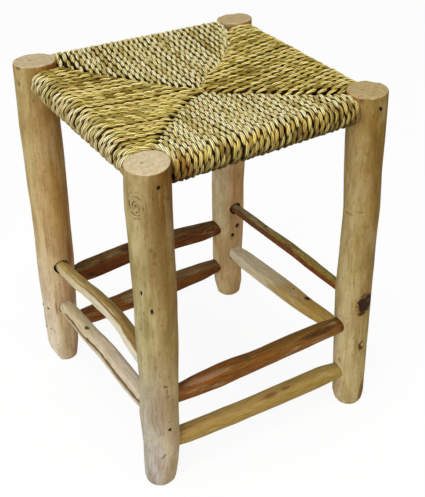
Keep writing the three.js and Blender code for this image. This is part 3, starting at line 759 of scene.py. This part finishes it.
def build_panel(key):
    panel = PANELS[key]
    along = np.array(panel["along"], float)
    out = np.array([along[1], -along[0]])
    axis = 0 if along[0] else 1
    legs = [leg_centre(leg, RAIL_HEIGHT) for leg in panel["legs"]]
    random, noise = np.random.default_rng(panel["seed"]), Noise(panel["seed"])
    count = sum(panel["counts"])
    widths = 1 + random.uniform(-WIDTH_VARIES, WIDTH_VARIES, count)
    leans = random.uniform(-LEAN_VARIES, LEAN_VARIES, count)
    rails, mitres = cord_places(panel, legs, axis, along[axis], widths)
    pitch = abs(rails[-1] - rails[0]) / (count - 1)
    crest = np.arange(2 * STRIPS) % 2 == 1
    lobe = np.where(crest, STRIP_CREST, STRIP_CREASE)
    lie = turn_of(2 * STRIPS)[None, :]
    all_points, all_faces = [], []
    fields = {label: [] for label in ("fibre", "tone", "tint", "crease", "roll", "proud")}
    base, phase = 0, 0.0
    for i in range(count):
        side = 0 if i < panel["counts"][0] else 1
        edge = min(i, count - 1 - i)
        corner = panel["legs"][side].removeprefix("leg_")
        mitre_at = along_mitre(corner, axis, mitres[i], panel["ridge"])
        share = (rails[i] - legs[0][axis]) / (legs[1][axis] - legs[0][axis])
        rail_other = legs[0][1 - axis] + share * (legs[1][1 - axis] - legs[0][1 - axis])
        rail_at = np.array([rails[i], rail_other] if axis == 0 else [rail_other, rails[i]])
        rise = panel["rise"][0] + (panel["rise"][1] - panel["rise"][0]) * i / (count - 1)
        # the lower layer lies half a cord aside, so the gaps in the upper one don't show the floor
        shift = 0.5 * pitch * min(1, edge / 3)
        lean = leans[i] if edge else 0
        path = strand_path(along, out, rail_at, rise, mitre_at, side, noise, i, lean, shift)
        line, run = smooth_curve(path, CORD_STEP)
        tangent, normal, cross = transported_frames(line)
        phase += PHASE_STEP + random.uniform(-PHASE_VARIES, PHASE_VARIES)
        lay = CORD_LAY * random.uniform(*LAY_VARIES)
        spin = phase + 2 * np.pi * run / lay + noise.along(run, TWIST_VARIES, i)
        thick = cord_thickness(panel, side, run, noise, i)
        outside, rolled = seat_surface(line, out, rail_at)
        strand_tone = random.uniform(-1, 1)
        column = np.ones((len(line), 1))
        for ply in (0, 1):
            angle = (spin + math.pi * ply)[:, None]
            radial = np.cos(angle) * normal + np.sin(angle) * cross
            turning = -np.sin(angle) * normal + np.cos(angle) * cross
            middle = line + radial * (PLY_OFFSET * thick)[:, None]
            heading = tangent + turning * (2 * np.pi * PLY_OFFSET * thick / lay)[:, None]
            heading /= np.linalg.norm(heading, axis=1)[:, None]
            over = np.cross(heading, radial)
            theta = lie - LEAF_TWIST * spin[:, None]
            place = (run / STRIPS_VARY[1])[:, None] + i + ply + 0 * theta
            uneven = 1 + STRIPS_VARY[0] * noise(np.stack([np.cos(theta), np.sin(theta), place], -1))
            outwards = PLY_RADIAL * np.cos(theta) * lobe * uneven * thick[:, None]
            sideways = PLY_ACROSS * np.sin(theta) * lobe * uneven * thick[:, None]
            ring = middle[:, None, :] + radial[:, None, :] * outwards[..., None]
            ring = ring + over[:, None, :] * sideways[..., None]
            all_points.extend([ring.reshape(-1, 3), middle[[0, -1]]])
            all_faces.extend(tuple(v + base for v in face) for face in stacked_faces(len(line), 2 * STRIPS))
            base += len(line) * 2 * STRIPS + 2
            own = random.uniform(0, 40)
            place = (run / FIBRE_LENGTH)[:, None] + own + 0 * theta
            fibre = np.stack([np.cos(lie) * column, np.sin(lie) * column, place], -1)
            strip_tones = np.repeat(random.uniform(-1, 1, STRIPS), 2)
            strip_tones = np.where(crest, strip_tones, (strip_tones + np.roll(strip_tones, 1)) / 2)
            strip_tints = np.repeat(random.uniform(-1, 1, STRIPS), 2)
            ply_tone = CORD_TONE * strand_tone + PLY_TONE * random.uniform(-1, 1)
            slow = noise.along(run, TONE_VARIES, 3 * i + ply, 6)
            # How far each point stands out of the seat, which sets how much painted shade it gets
            offset = (ring - line[:, None, :]) / thick[:, None, None]
            proud = (offset * outside[:, None, :]).sum(-1)
            if edge == 0:
                proud = np.maximum(proud, (offset[..., :2] @ along) * (1 if i else -1) + EDGE_PROUD)
            fields["fibre"].append(np.vstack([fibre.reshape(-1, 3), fibre[0, :1], fibre[-1, :1]]))
            for label, values in (
                ("tone", (ply_tone + slow)[:, None] + strip_tones),
                ("tint", column * strip_tints),
                ("crease", column * ~crest),
                ("roll", rolled[:, None] * np.ones(2 * STRIPS)),
                ("proud", proud),
            ):
                fields[label].append(np.append(values, [values[0].mean(), values[-1].mean()]))
    attributes = [(label, np.concatenate(parts)) for label, parts in fields.items()]
    return as_object(f"seat_cord_{key}", np.vstack(all_points), all_faces, attributes)


def linear(code):
    """A colour written as six hex digits, as the linear values that the shaders take."""
    values = [int(code[i : i + 2], 16) / 255 for i in (1, 3, 5)]
    return [v / 12.92 if v <= 0.04045 else ((v + 0.055) / 1.055) ** 2.4 for v in values] + [1]


class Shading:
    """A material's nodes, made one at a time, with the colour that its coats build up."""

    def __init__(self, name):
        self.material = bpy.data.materials.new(name)
        self.material.use_nodes = True
        self.tree = self.material.node_tree
        self.tree.nodes.clear()
        self.output = self.tree.nodes.new("ShaderNodeOutputMaterial")
        self.surface = self.tree.nodes.new("ShaderNodeBsdfPrincipled")
        self.tree.links.new(self.surface.outputs[0], self.output.inputs[0])
        self.colour = None

    def put(self, socket, value):
        if isinstance(value, bpy.types.NodeSocket):
            self.tree.links.new(value, socket)
        else:
            socket.default_value = linear(value) if isinstance(value, str) else value

    def node(self, kind, *inputs, **settings):
        made = self.tree.nodes.new("ShaderNode" + kind)
        for key, value in settings.items():
            setattr(made, key, value)
        for i, value in enumerate(inputs):
            self.put(made.inputs[i], value)
        return made

    def place(self):
        """The point on the object, in millimetres."""
        made = self.node("VectorMath", self.node("TexCoord").outputs["Object"], operation="SCALE")
        made.inputs["Scale"].default_value = 1000
        return made.outputs[0]

    def vector(self, operation, a, *b):
        return self.node("VectorMath", a, *b, operation=operation)

    def stretched(self, vector, factors):
        return self.vector("MULTIPLY", vector, factors).outputs[0]

    def distance(self, place, centre, factors):
        """How far the place is from a centre, with each axis scaled."""
        away = self.vector("SUBTRACT", place, centre).outputs[0]
        return self.vector("LENGTH", self.stretched(away, factors)).outputs["Value"]

    def noise(self, vector, scale, detail=3.0, roughness=0.55, distortion=0.0):
        made = self.node("TexNoise", noise_dimensions="3D")
        self.put(made.inputs["Vector"], vector)
        values = {"Scale": scale, "Detail": detail, "Roughness": roughness, "Distortion": distortion}
        for key, value in values.items():
            made.inputs[key].default_value = value
        return made.outputs["Fac"]

    def math(self, operation, *values):
        return self.node("Math", *values, operation=operation).outputs[0]

    def add(self, a, b):
        return self.math("ADD", a, b)

    def times(self, a, b):
        return self.math("MULTIPLY", a, b)

    def less(self, a, b):
        return self.math("SUBTRACT", a, b)

    def span(self, value, low, high, to_low=0.0, to_high=1.0):
        limits = (low, high, to_low, to_high)
        return self.node("MapRange", value, *limits, interpolation_type="SMOOTHSTEP").outputs[0]

    def mix(self, share, a, b, blend="MIX"):
        made = self.node("Mix", data_type="RGBA", blend_type=blend)
        for i, value in ((0, share), (6, a), (7, b)):
            self.put(made.inputs[i], value)
        return made.outputs[2]

    def coat(self, value, low, high, most, tint, blend="MIX"):
        """Another tint over the colour, from none of it where value is low to most where it is high."""
        self.colour = self.mix(self.span(value, low, high, 0, most), self.colour, tint, blend)

    def ramp(self, share, places, colours):
        made = self.node("ValToRGB", share)
        band = made.color_ramp
        while len(band.elements) < len(places):
            band.elements.new(0.5)
        for element, at, colour in zip(band.elements, places, colours):
            element.position = at
            element.color = linear(colour)
        return made.outputs[0]

    def split(self, vector):
        return self.node("SeparateXYZ", vector).outputs

    def attribute(self, name, output="Fac"):
        return self.node("Attribute", attribute_type="GEOMETRY", attribute_name=name).outputs[output]

    def bump(self, height, strength, distance_mm):
        made = self.node("Bump")
        made.inputs["Strength"].default_value = strength
        made.inputs["Distance"].default_value = distance_mm * MM
        self.put(made.inputs["Height"], height)
        self.put(self.surface.inputs["Normal"], made.outputs[0])

    def finish(self, colour, roughness, specular=0.3):
        self.put(self.surface.inputs["Base Color"], colour)
        self.put(self.surface.inputs["Roughness"], roughness)
        self.surface.inputs["Specular IOR Level"].default_value = specular
        return self.material

    def mark(self, place, centre, reach, tint, ragged, soft):
        """A stain of another tint round a point, reach being its half sizes on the three axes."""
        wobble = self.less(self.noise(place, 0.35, 2.0), 0.5)
        far = self.add(self.distance(place, centre, [1 / r for r in reach]), self.times(wobble, 2 * ragged))
        self.coat(far, 1 + soft, 1 - soft, 1, tint)


def on_leg(name, z, degrees):
    """The point of a leg's surface at a height and an angle about its axis."""
    turn = math.radians(degrees)
    centre, radius = leg_centre(name, z), float(leg_radius(name, z))
    return float(centre[0] + radius * math.cos(turn)), float(centre[1] + radius * math.sin(turn)), float(z)


# Each leg's colours at its foot, its middle and its top, on the pale side and on the browner side, the two of
# its sawn end, its marks as (height, degrees about the axis, half sizes, tint, raggedness, softness), and the
# place and reach of its arcs. The browner side, turned away from the key lamp, is partly the wood's own
# colour and partly painted shade
LEG_COLOUR_HEIGHTS = (0.08, 0.5, 0.92)
LEG_LOOKS = {
    "leg_front_left": {
        "pale": ("#ada8a6", "#9b9168", "#9f9064"), "shaded_brown": ("#b2a386", "#8d7745", "#6e4c10"),
        "disc": ("#c4b797", "#ae9c79"),
        "marks": [
            (358, -119, (1.9, 1.9, 3.0), "#6b5429", 0.5, 0.5),
            (352, -111, (2.4, 2.4, 4.4), "#6b5429", 0.6, 0.5),
            (341, -113, (1.7, 1.7, 2.6), "#6b5429", 0.5, 0.5),
            (300, -155, (1.4, 1.4, 3.2), "#0a0502", 0.4, 0.08),
            (277, -128, (1.7, 1.7, 3.8), "#0a0502", 0.5, 0.08),
            (262, -126, (2.4, 2.4, 9), "#a09264", 0.6, 1.0),
            (167, -103, (1.5, 1.5, 1.7), "#5a4a3a", 0.7, 0.5),
            (166, -95, (1.4, 1.4, 1.2), "#5a4a3a", 0.7, 0.5),
            (159, -96, (1.1, 1.1, 3.0), "#6a5948", 0.8, 0.7),
            (151, -93, (1.5, 1.5, 1.2), "#5a4a3a", 0.7, 0.5),
            (110, -128, (4.4, 4.4, 1.2), "#8f8272", 0.6, 0.4),
            (54, -118, (1.8, 1.8, 1.2), "#6a5c4c", 0.5, 0.3),
            (56.5, -114, (1.8, 1.8, 1.2), "#6a5c4c", 0.5, 0.3),
            (59, -110, (1.8, 1.8, 1.2), "#6a5c4c", 0.5, 0.3),
            (432.5, -94, (1.8, 1.8, 2.3), "#38240e", 0.5, 0.3),
        ],
        "arcs": (411, -152, 17),
    },
    "leg_front_right": {
        "pale": ("#c0b18a", "#ad9d6e", "#937c4b"), "shaded_brown": ("#a28f5c", "#866b35", "#785e1e"),
        "disc": ("#b09e70", "#947f53"),
        "marks": [
            (169, -82, (16, 16, 15), "#765529", 0.7, 0.5), (170, -82, (13, 13, 13), "#2b1705", 0.5, 0.14),
            (164, -92, (8, 8, 6), "#2b1705", 0.6, 0.14), (172, -74, (3.5, 3.5, 2.5), "#4c3318", 0.6, 0.4),
            (156, -98, (6, 6, 3.5), "#3c2611", 0.7, 0.3), (182, -93, (6, 6, 4), "#5c4020", 0.7, 0.4),
            (103, -92, (4.4, 4.4, 7), "#432a10", 0.8, 0.2),
            (104, -88, (2.2, 2.2, 3.2), "#a8884e", 0.5, 0.2),
            (77, -165, (2.2, 2.2, 4.5), "#9a7347", 0.4, 0.8),
            (306, -134, (4.5, 4.5, 1.1), "#806534", 0.5, 0.8),
            (286, -112, (4, 4, 1.2), "#7b602f", 0.6, 0.8), (300, -172, (5, 5, 1.4), "#7d6436", 0.6, 0.8),
            (443, -92, (2.4, 2.4, 1.7), "#33220c", 0.6, 0.4), (454, -146, (4, 4, 4), "#6b4a22", 0.5, 0.7),
            (449, 178, (8, 10, 9), "#8e5724", 0.6, 0.6), (18, -62, (9, 9, 22), "#6f5129", 0.5, 0.2),
        ],
        "arcs": None,
    },
    "leg_back_left": {
        "pale": ("#d4cab8", "#b9a478", "#a3905f"), "shaded_brown": ("#b79f80", "#a4824a", "#8e6a34"),
        "disc": ("#c3b494", "#a28f67"),
        "marks": [
            (452, -60, (20, 14, 7), "#7f4c1c", 0.5, 0.4), (457, -164, (4, 4, 2.2), "#6b5637", 0.5, 0.4),
            (436, -168, (3, 3, 4), "#7d6238", 0.6, 0.5), (186, -60, (4, 4, 24), "#7d5228", 0.6, 0.6),
            (230, -56, (3, 3, 26), "#8a6034", 0.6, 0.6), (100, -125, (1.6, 1.6, 12), "#8b6b45", 0.6, 0.6),
            (210, -135, (1.0, 1.0, 16), "#8f7347", 0.5, 0.6),
            (95.3, -158.5, (1.8, 1.8, 2.1), "#2b1a0c", 0.4, 0.25),
            (58.8, -157.5, (1.4, 1.4, 1.6), "#4a3421", 0.5, 0.4),
        ],
        "arcs": None,
    },
    "leg_back_right": {
        "pale": ("#cfb98c", "#bbad8c", "#b0a07c"), "shaded_brown": ("#b2966a", "#a57f4e", "#936c3e"),
        "disc": ("#b9a880", "#9c895f"),
        "marks": [
            (447, -100, (22, 14, 6), "#85531f", 0.5, 0.5), (134, -85, (3.6, 3.6, 4), "#2c190c", 0.5, 0.4),
            (119, -105, (2.8, 2.8, 3), "#2c190c", 0.5, 0.4),
        ],
        "arcs": None,
    },
}


def leg_material(name):
    look = LEG_LOOKS[name]
    top = LEGS[name]["top"]
    s = Shading(name + "_wood")
    place = s.place()
    normal = s.node("NewGeometry").outputs["Normal"]
    z = s.split(place)[2]
    mottle = s.noise(s.stretched(place, (1, 1, 0.35)), 0.055, 4.0, 0.62, 0.2)
    specks = s.noise(s.stretched(place, (1, 1, 0.55)), 0.3, 3.0, 0.6)
    fine = s.noise(s.stretched(place, (1, 1, 0.05)), 0.6, 4.0, 0.55, 0.2)
    bands = s.noise(s.stretched(place, (1, 1, 0.03)), 0.14, 2.0, 0.5)
    uneven = s.less(mottle, 0.5)
    share = s.add(s.math("DIVIDE", z, top[2]), s.times(uneven, 0.35))
    # Painted shade: the side turned away from the key lamp takes the darker, browner colours, partly the
    # wood's own colour
    facing = s.vector("DOT_PRODUCT", normal, PICTURE_RIGHT).outputs["Value"]
    facing = s.add(facing, s.times(uneven, 0.9))
    s.colour = s.ramp(share, LEG_COLOUR_HEIGHTS, look["pale"])
    s.coat(facing, -0.65, 0.78, 1, s.ramp(share, LEG_COLOUR_HEIGHTS, look["shaded_brown"]))
    s.coat(bands, 0.5, 0.64, 0.6, "#e6e6c0", "MULTIPLY")
    s.coat(bands, 0.48, 0.34, 0.5, "#ebdccf", "MULTIPLY")
    s.coat(mottle, 0.58, 0.36, 0.5, "#bfa070", "MULTIPLY")
    s.coat(mottle, 0.5, 0.7, 0.18, "#cfc4a0")
    s.coat(specks, 0.55, 0.72, 0.5, "#b4925e", "MULTIPLY")
    s.coat(fine, 0.45, 0.75, 0.35, "#a98c5c", "MULTIPLY")
    for height, degrees, *mark in look["marks"]:
        s.mark(place, on_leg(name, height, degrees), *mark)
    if look["arcs"]:
        height, degrees, reach = look["arcs"]
        far = s.distance(place, on_leg(name, height, degrees), (1.15, 1.15, 0.85))
        bent = s.add(far, s.times(s.noise(place, 0.1, 2.0), 12))
        wave = s.span(s.math("SINE", s.times(bent, 1.3)), -0.2, 1.0)
        patchy = s.span(s.noise(place, 0.14, 2.0), 0.38, 0.56)
        shown = s.times(s.times(wave, patchy), s.span(far, reach, reach * 0.6))
        s.coat(far, reach, 4, 0.25, "#7c6636")
        s.colour = s.mix(shown, s.colour, "#584221")
        s.coat(far, 2.6, 0.8, 0.8, "#4a3415")
    # the sawn end: pale, with faint rings about the pith
    bark = s.colour
    wavy = s.distance(place, (top[0] - 5, top[1] + 3, top[2]), (1, 1, 0))
    wavy = s.add(wavy, s.times(s.noise(place, 0.05, 2.0), 9))
    s.colour = s.mix(s.span(s.noise(place, 0.22, 5.0, 0.7), 0.3, 0.7), *look["disc"])
    s.coat(s.math("SINE", s.times(wavy, 2.1)), -0.6, 1, 0.14, "#94795a")
    s.coat(s.noise(place, 0.7, 3.0, 0.7), 0.52, 0.74, 0.5, "#8b7458")
    s.coat(wavy, 6.5, 4.5, 0.6, "#75604a")
    on_top = s.times(s.span(s.split(normal)[2], 0.55, 0.85), s.span(z, 430, 440))
    s.colour = s.mix(on_top, bark, s.colour)
    # Painted shade: the mortises' walls are painted near black
    s.colour = s.mix(s.attribute("inside"), s.colour, "#100804")
    s.bump(s.add(s.times(fine, 0.5), s.times(specks, 0.9)), 0.55, 0.4)
    return s.finish(s.colour, s.span(mottle, 0.3, 0.7, 0.6, 0.75), 0.1)


# Each stretcher's side and upper colours near its first end, the same near its last end, its streaks and its
# stains as (point, reach, tint)
STRETCHER_LOOKS = {
    "stretcher_left_upper": {
        "first": ("#c3b68e", "#b09657"), "last": ("#d2cbb6", "#8f7440"), "streaks": "#7a5a34",
        "strength": 0.35,
        "stains": [((-147, -108, 186), (6, 16, 6), "#8a6238"), ((-142, -122, 178), (7, 7, 6), "#4f3f20")],
    },
    "stretcher_left_lower": {
        "first": ("#c6b695", "#c3b38e"), "last": ("#c9bda6", "#cdbfa8"), "streaks": "#8e7c58",
        "strength": 0.4, "stains": [((-145.6, 46.9, 112), (3, 4, 3), "#4f4122")],
    },
    "stretcher_right_upper": {
        "first": ("#764a28", "#93815c"), "last": ("#854a18", "#a08c40"), "streaks": "#4e2f17",
        "strength": 0.6,
        "stains": [((149, 66, 172), (3, 5, 3), "#3a2715"), ((147, 50, 172), (3, 3, 3), "#4a331c")],
    },
    "stretcher_right_lower": {
        "first": ("#e2d6b6", "#cdc0a2"), "last": ("#c0a058", "#b5934a"), "streaks": "#87703f",
        "strength": 0.35,
        "stains": [
            ((149, -51.3, 106.5), (4.2, 4.6, 5), "#2a1006"), ((147, -20, 106.6), (1.4, 2.4, 2), "#4a3a1e"),
        ],
    },
    "stretcher_back_upper": {
        "first": ("#66340c", "#735427"), "last": ("#683a13", "#62441c"), "streaks": "#341a0a",
        "strength": 0.75,
        "stains": [((-20, 140, 148), (22, 8, 4), "#4b331c"), ((-62, 140, 148), (18, 8, 3), "#8d7a58")],
    },
    "stretcher_back_lower": {
        "first": ("#86501a", "#855828"), "last": ("#724417", "#80603a"), "streaks": "#43220c",
        "strength": 0.6, "stains": [((-25, 140, 62), (20, 8, 5), "#9a8356")],
    },
    "stretcher_front_upper": {
        "first": ("#7c4a12", "#87531f"), "last": ("#80541e", "#7a5926"), "streaks": "#522b0e",
        "strength": 0.6,
        "stains": [
            ((-22, -150, 140), (4, 6, 2.5), "#5a5226"), ((-90, -152, 140), (30, 6, 3), "#a27a58"),
            ((88, -156, 139), (28, 6, 4), "#543612"), ((128, -154, 137), (12, 9, 8), "#66411a"),
        ],
    },
    "stretcher_front_lower": {
        "first": ("#9c8042", "#ae9054"), "last": ("#977d3d", "#a1874a"), "streaks": "#7b5f2c",
        "strength": 0.4,
        "stains": [((14, -154, 67), (11, 4, 3), "#8a6238"), ((38, -153, 68), (7, 4, 3), "#8a6238")],
    },
}


def stretcher_material(name):
    look = STRETCHER_LOOKS[name]
    s = Shading(name + "_wood")
    place = s.place()
    across = "left" in name or "right" in name
    grain = s.stretched(place, (1, 0.06, 1) if across else (0.06, 1, 1))
    broad = s.noise(s.stretched(place, (1, 0.25, 1) if across else (0.25, 1, 1)), 0.08, 4.0, 0.6, 0.6)
    fine = s.noise(grain, 0.95, 5.0, 0.62, 0.2)
    streak = s.noise(grain, 0.3, 4.0, 0.6, 0.6)
    uneven = s.less(broad, 0.5)
    along = s.span(s.add(s.attribute("along"), uneven), 0.15, 0.75)
    side, upper = (s.mix(along, first, last) for first, last in zip(look["first"], look["last"]))
    up = s.split(s.node("NewGeometry").outputs["Normal"])[2]
    s.colour = side
    s.coat(s.add(up, s.times(uneven, 0.8)), 0.45, 0.75, 1, upper)
    s.coat(broad, 0.54, 0.7, 0.25, "#c9b78e")
    for point, reach, tint in look["stains"]:
        s.mark(place, point, reach, tint, 0.6, 0.4)
    s.coat(streak, 0.5, 0.68, look["strength"], look["streaks"])
    s.coat(fine, 0.38, 0.7, look["strength"], look["streaks"], "MULTIPLY")
    # Painted shade: the grooves are painted darker brown
    s.coat(s.attribute("split"), 0.2, 0.8, 0.9, "#5c4526")
    s.bump(s.add(s.times(fine, 0.7), streak), 0.7, 0.45)
    return s.finish(s.colour, s.span(broad, 0.3, 0.7, 0.55, 0.72), 0.1)


def cord_material(name, on_top, on_roll, below, shade, gap, depths):
    """Twisted palm leaf: strips of several tints lie along each ply. The creases between strips, the plies'
    sides where they sink into the seat, the gaps between cords and the underside of the roll are darkened
    with painted shade.
    """
    s = Shading(name)
    tone, tint, roll, crease, proud = map(s.attribute, ("tone", "tint", "roll", "crease", "proud"))
    place = s.place()
    fine = s.noise(s.stretched(s.attribute("fibre", "Vector"), (4, 4, 1.1)), 1.0, 3.0, 0.6)
    patches = s.noise(place, 0.03, 3.0)
    value = s.add(s.times(tone, 0.15), 0.5)
    value = s.add(value, s.times(s.less(patches, 0.53), 0.35))
    value = s.add(value, s.times(s.less(fine, 0.5), 0.52))
    s.colour = s.ramp(value, CORD_TONES, on_top)
    # On the roll the cords take other tones: partly their own colour, partly painted sheen and shade where
    # the cord turns against the light
    s.coat(s.add(roll, s.less(fine, 0.5)), 0.1, 0.8, 0.95, s.ramp(value, CORD_TONES, on_roll))
    s.mark(place, (-114, -160, 434), (13, 18, 20), "#a0651a", 0.6, 0.6)
    s.mark(place, (120, -156, 436), (5, 14, 13), "#a5793a", 0.6, 0.8)
    s.coat(tint, 0.6, 0.95, 0.5, "#cea562")
    s.coat(tint, -0.5, -0.9, 0.45, "#b4b877")
    # Painted shade on the plies' sides, in the creases between strips, under the roll and in the gaps between
    # cords
    s.coat(proud, depths[0], depths[1], 0.6, shade)
    s.coat(crease, 0.25, 0.85, 0.65, shade)
    s.coat(crease, 0.5, 1.0, 0.75, gap)
    s.coat(roll, 0.75, 1.25, 0.88, below)
    s.coat(proud, depths[2], depths[3], 1, gap)
    s.bump(fine, 0.6, 0.4)
    return s.finish(s.colour, 0.6, 0.12)


def iron_material():
    s = Shading("old_iron")
    rust = s.noise(s.place(), 0.8, 4.0, 0.6)
    s.bump(rust, 0.5, 0.3)
    colour = s.mix(s.span(rust, 0.4, 0.65), "#100a06", "#2c170a")
    return s.finish(colour, s.span(rust, 0.3, 0.7, 0.7, 0.9), 0.05)


def rail_material():
    s = Shading("rail_wood")
    grain = s.noise(s.stretched(s.place(), (0.2, 0.2, 1)), 0.6, 4.0, 0.6)
    s.bump(grain, 0.5, 0.3)
    return s.finish(s.mix(grain, "#7d5f38", "#a4875a"), 0.65)


def build_nail(node, poles):
    """A hammered nail head with a low dome, seated on the pole at its CAD node's place."""
    low, high = (np.array(v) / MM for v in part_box(node))
    size, centre = high - low, (low + high) / 2
    axis = int(np.argmax(size))
    leg = min(LEGS, key=lambda name: np.linalg.norm(leg_centre(name, centre[2]) - centre[:2]))
    outer = centre.copy()
    outer[axis] = low[axis] if leg_centre(leg, centre[2])[axis] > centre[axis] else high[axis]
    _, place, normal, _ = poles[leg].closest_point_on_mesh(Vector(outer * MM))
    middle, way = np.array(place) / MM, np.array(normal)
    way[2] *= 0.3
    way = unit(way)
    head = NAIL_HEAD_SHARE * np.delete(size, axis).max() / 2
    up = unit(UP - way * way[2])
    side = np.cross(up, way)
    angles = turn_of(NAIL_AROUND)
    dents = Noise(int(centre[2]) + axis)
    rings = []
    for out, share in NAIL_PROFILE:
        dent = 1 + 0.1 * dents(np.stack([np.cos(angles), np.sin(angles), angles * 0 + out], -1) * 1.3)
        radius = head * share * dent
        tilt = 0.12 * np.cos(angles + centre[2]) if out > -3 else 0
        ring = middle + np.outer(np.full(NAIL_AROUND, out) + tilt, way)
        rings.append(ring + np.outer(np.cos(angles) * radius, side) + np.outer(np.sin(angles) * radius, up))
    caps = [middle + way * (NAIL_PROFILE[0][0] - 1), middle + way * (NAIL_PROFILE[-1][0] + 0.06)]
    faces = stacked_faces(len(rings), NAIL_AROUND)
    if np.cross(side, up) @ way < 0:
        faces = [face[::-1] for face in faces]
    return as_object(node + "_head", np.vstack([*rings, *caps]), faces)


def build_stage():
    scene = bpy.context.scene
    camera = bpy.data.objects.new("camera", bpy.data.cameras.new("camera"))
    scene.collection.objects.link(camera)
    camera.location = CAMERA_PLACE
    camera.rotation_euler = Euler((math.radians(90 - CAMERA_PITCH_DOWN), 0, math.radians(-CAMERA_YAW)))
    camera.data.sensor_width = SENSOR_MM
    camera.data.lens = FOCAL_PX / IMAGE_HEIGHT_PX * SENSOR_MM
    camera.data.clip_start, camera.data.clip_end = 0.05, 50
    scene.camera = camera
    scene.view_settings.view_transform = "Standard"

    corners = [(x * FLOOR_HALF, y * FLOOR_HALF, 0) for x, y in ((-1, -1), (1, -1), (1, 1), (-1, 1))]
    floor = as_object("floor", corners, [(0, 1, 2, 3)])
    s = Shading("floor_paper")
    s.finish("#f4f3f0", 0.9, 0.1)
    white = s.node("Emission", (1, 1, 1, 1))
    seen = s.times(s.node("LightPath").outputs["Is Camera Ray"], FLOOR_WHITE)
    shared = s.node("MixShader", seen, s.surface.outputs[0], white.outputs[0])
    s.tree.links.new(shared.outputs[0], s.output.inputs[0])
    floor.data.materials.append(s.material)

    world = bpy.data.worlds.new("studio")
    scene.world = world
    world.use_nodes = True
    tree = world.node_tree
    tree.nodes.clear()
    kinds = ("OutputWorld", "LightPath", "MixShader")
    output, path, mixed = (tree.nodes.new("ShaderNode" + kind) for kind in kinds)
    tree.links.new(path.outputs["Is Camera Ray"], mixed.inputs[0])
    for i, (colour, strength) in enumerate((WORLD_LIGHT, BACKDROP), 1):
        light = tree.nodes.new("ShaderNodeBackground")
        light.inputs[0].default_value, light.inputs[1].default_value = colour, strength
        tree.links.new(light.outputs[0], mixed.inputs[i])
    tree.links.new(mixed.outputs[0], output.inputs[0])

    for label, place, power, size in LAMPS:
        lamp = bpy.data.lights.new(label, "AREA")
        lamp.energy, lamp.size = power, size
        thing = bpy.data.objects.new(label, lamp)
        thing.location = place
        thing.rotation_euler = (Vector((0, 0, LAMPS_AIM)) - Vector(place)).to_track_quat("-Z", "Y").to_euler()
        scene.collection.objects.link(thing)


def wear(thing, material):
    thing.data.materials.clear()
    thing.data.materials.append(material)


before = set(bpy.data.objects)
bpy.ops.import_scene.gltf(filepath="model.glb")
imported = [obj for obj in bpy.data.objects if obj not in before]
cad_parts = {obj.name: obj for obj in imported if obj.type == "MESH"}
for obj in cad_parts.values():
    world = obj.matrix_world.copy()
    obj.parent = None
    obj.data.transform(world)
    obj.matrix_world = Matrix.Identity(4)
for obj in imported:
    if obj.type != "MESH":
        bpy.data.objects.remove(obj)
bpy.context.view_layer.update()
build_stage()

poles = {}
for leg in LEGS:
    pole = poles[leg] = build_leg(leg)
    wear(pole, leg_material(leg))
    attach(pole, "root")
    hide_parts(leg)

STRETCHER_SLOTS = {
    "pale_stretcher_wood": ("left_upper", "left_lower", "right_lower"),
    "honey_stretcher_wood": ("right_upper", "front_lower"),
    "dark_stretcher_wood": ("back_upper", "back_lower", "front_upper"),
}
for slot, members in STRETCHER_SLOTS.items():
    for stretcher in ["stretcher_" + member for member in members]:
        rod = build_stretcher(stretcher)
        wear(rod, stretcher_material(stretcher))
        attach(rod, "root")
        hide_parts(stretcher)

# The front and rear panels' cords are pale and the side panels' golden, partly the cords' own colour and
# partly painted sheen from light falling along cords that run the other way. Each takes its colours on top
# and on the roll, then colours of painted shade under the roll, on the plies' sides and in the gaps and
# creases, and the depths at which that shade sets in
pale_cord = cord_material(
    "cord_pale",
    ("#a58f44", "#e3d287", "#fff6b8", "#fffbd4", "#f4dc94"),
    ("#4a330a", "#94701a", "#dcb844", "#fff095", "#f4d478"),
    "#362100",
    "#a08c4c",
    "#2e1e06",
    (2.9, 1.7, 2.25, 1.15),
)
gold_cord = cord_material(
    "cord_gold",
    ("#6c5819", "#ab933e", "#dec868", "#fff0a4", "#dcba58"),
    ("#968650", "#cebe80", "#f4e6a8", "#fffbde", "#f0d894"),
    "#74601f",
    "#826d28",
    "#302004",
    (3.1, 1.7, 2.5, 1.3),
)
for panel_key, panel_spec in PANELS.items():
    cords = build_panel(panel_key)
    wear(cords, gold_cord if panel_spec["ridge"] else pale_cord)
    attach(cords, "root")
    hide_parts("woven_seat")

rail_wood = rail_material()
for label in ("front", "back", "left", "right"):
    wear(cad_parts["seat_rail_" + label], rail_wood)

iron = iron_material()
for node in [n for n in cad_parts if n.startswith("nail_")]:
    head = build_nail(node, poles)
    wear(head, iron)
    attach(head, "root")
    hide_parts(node)
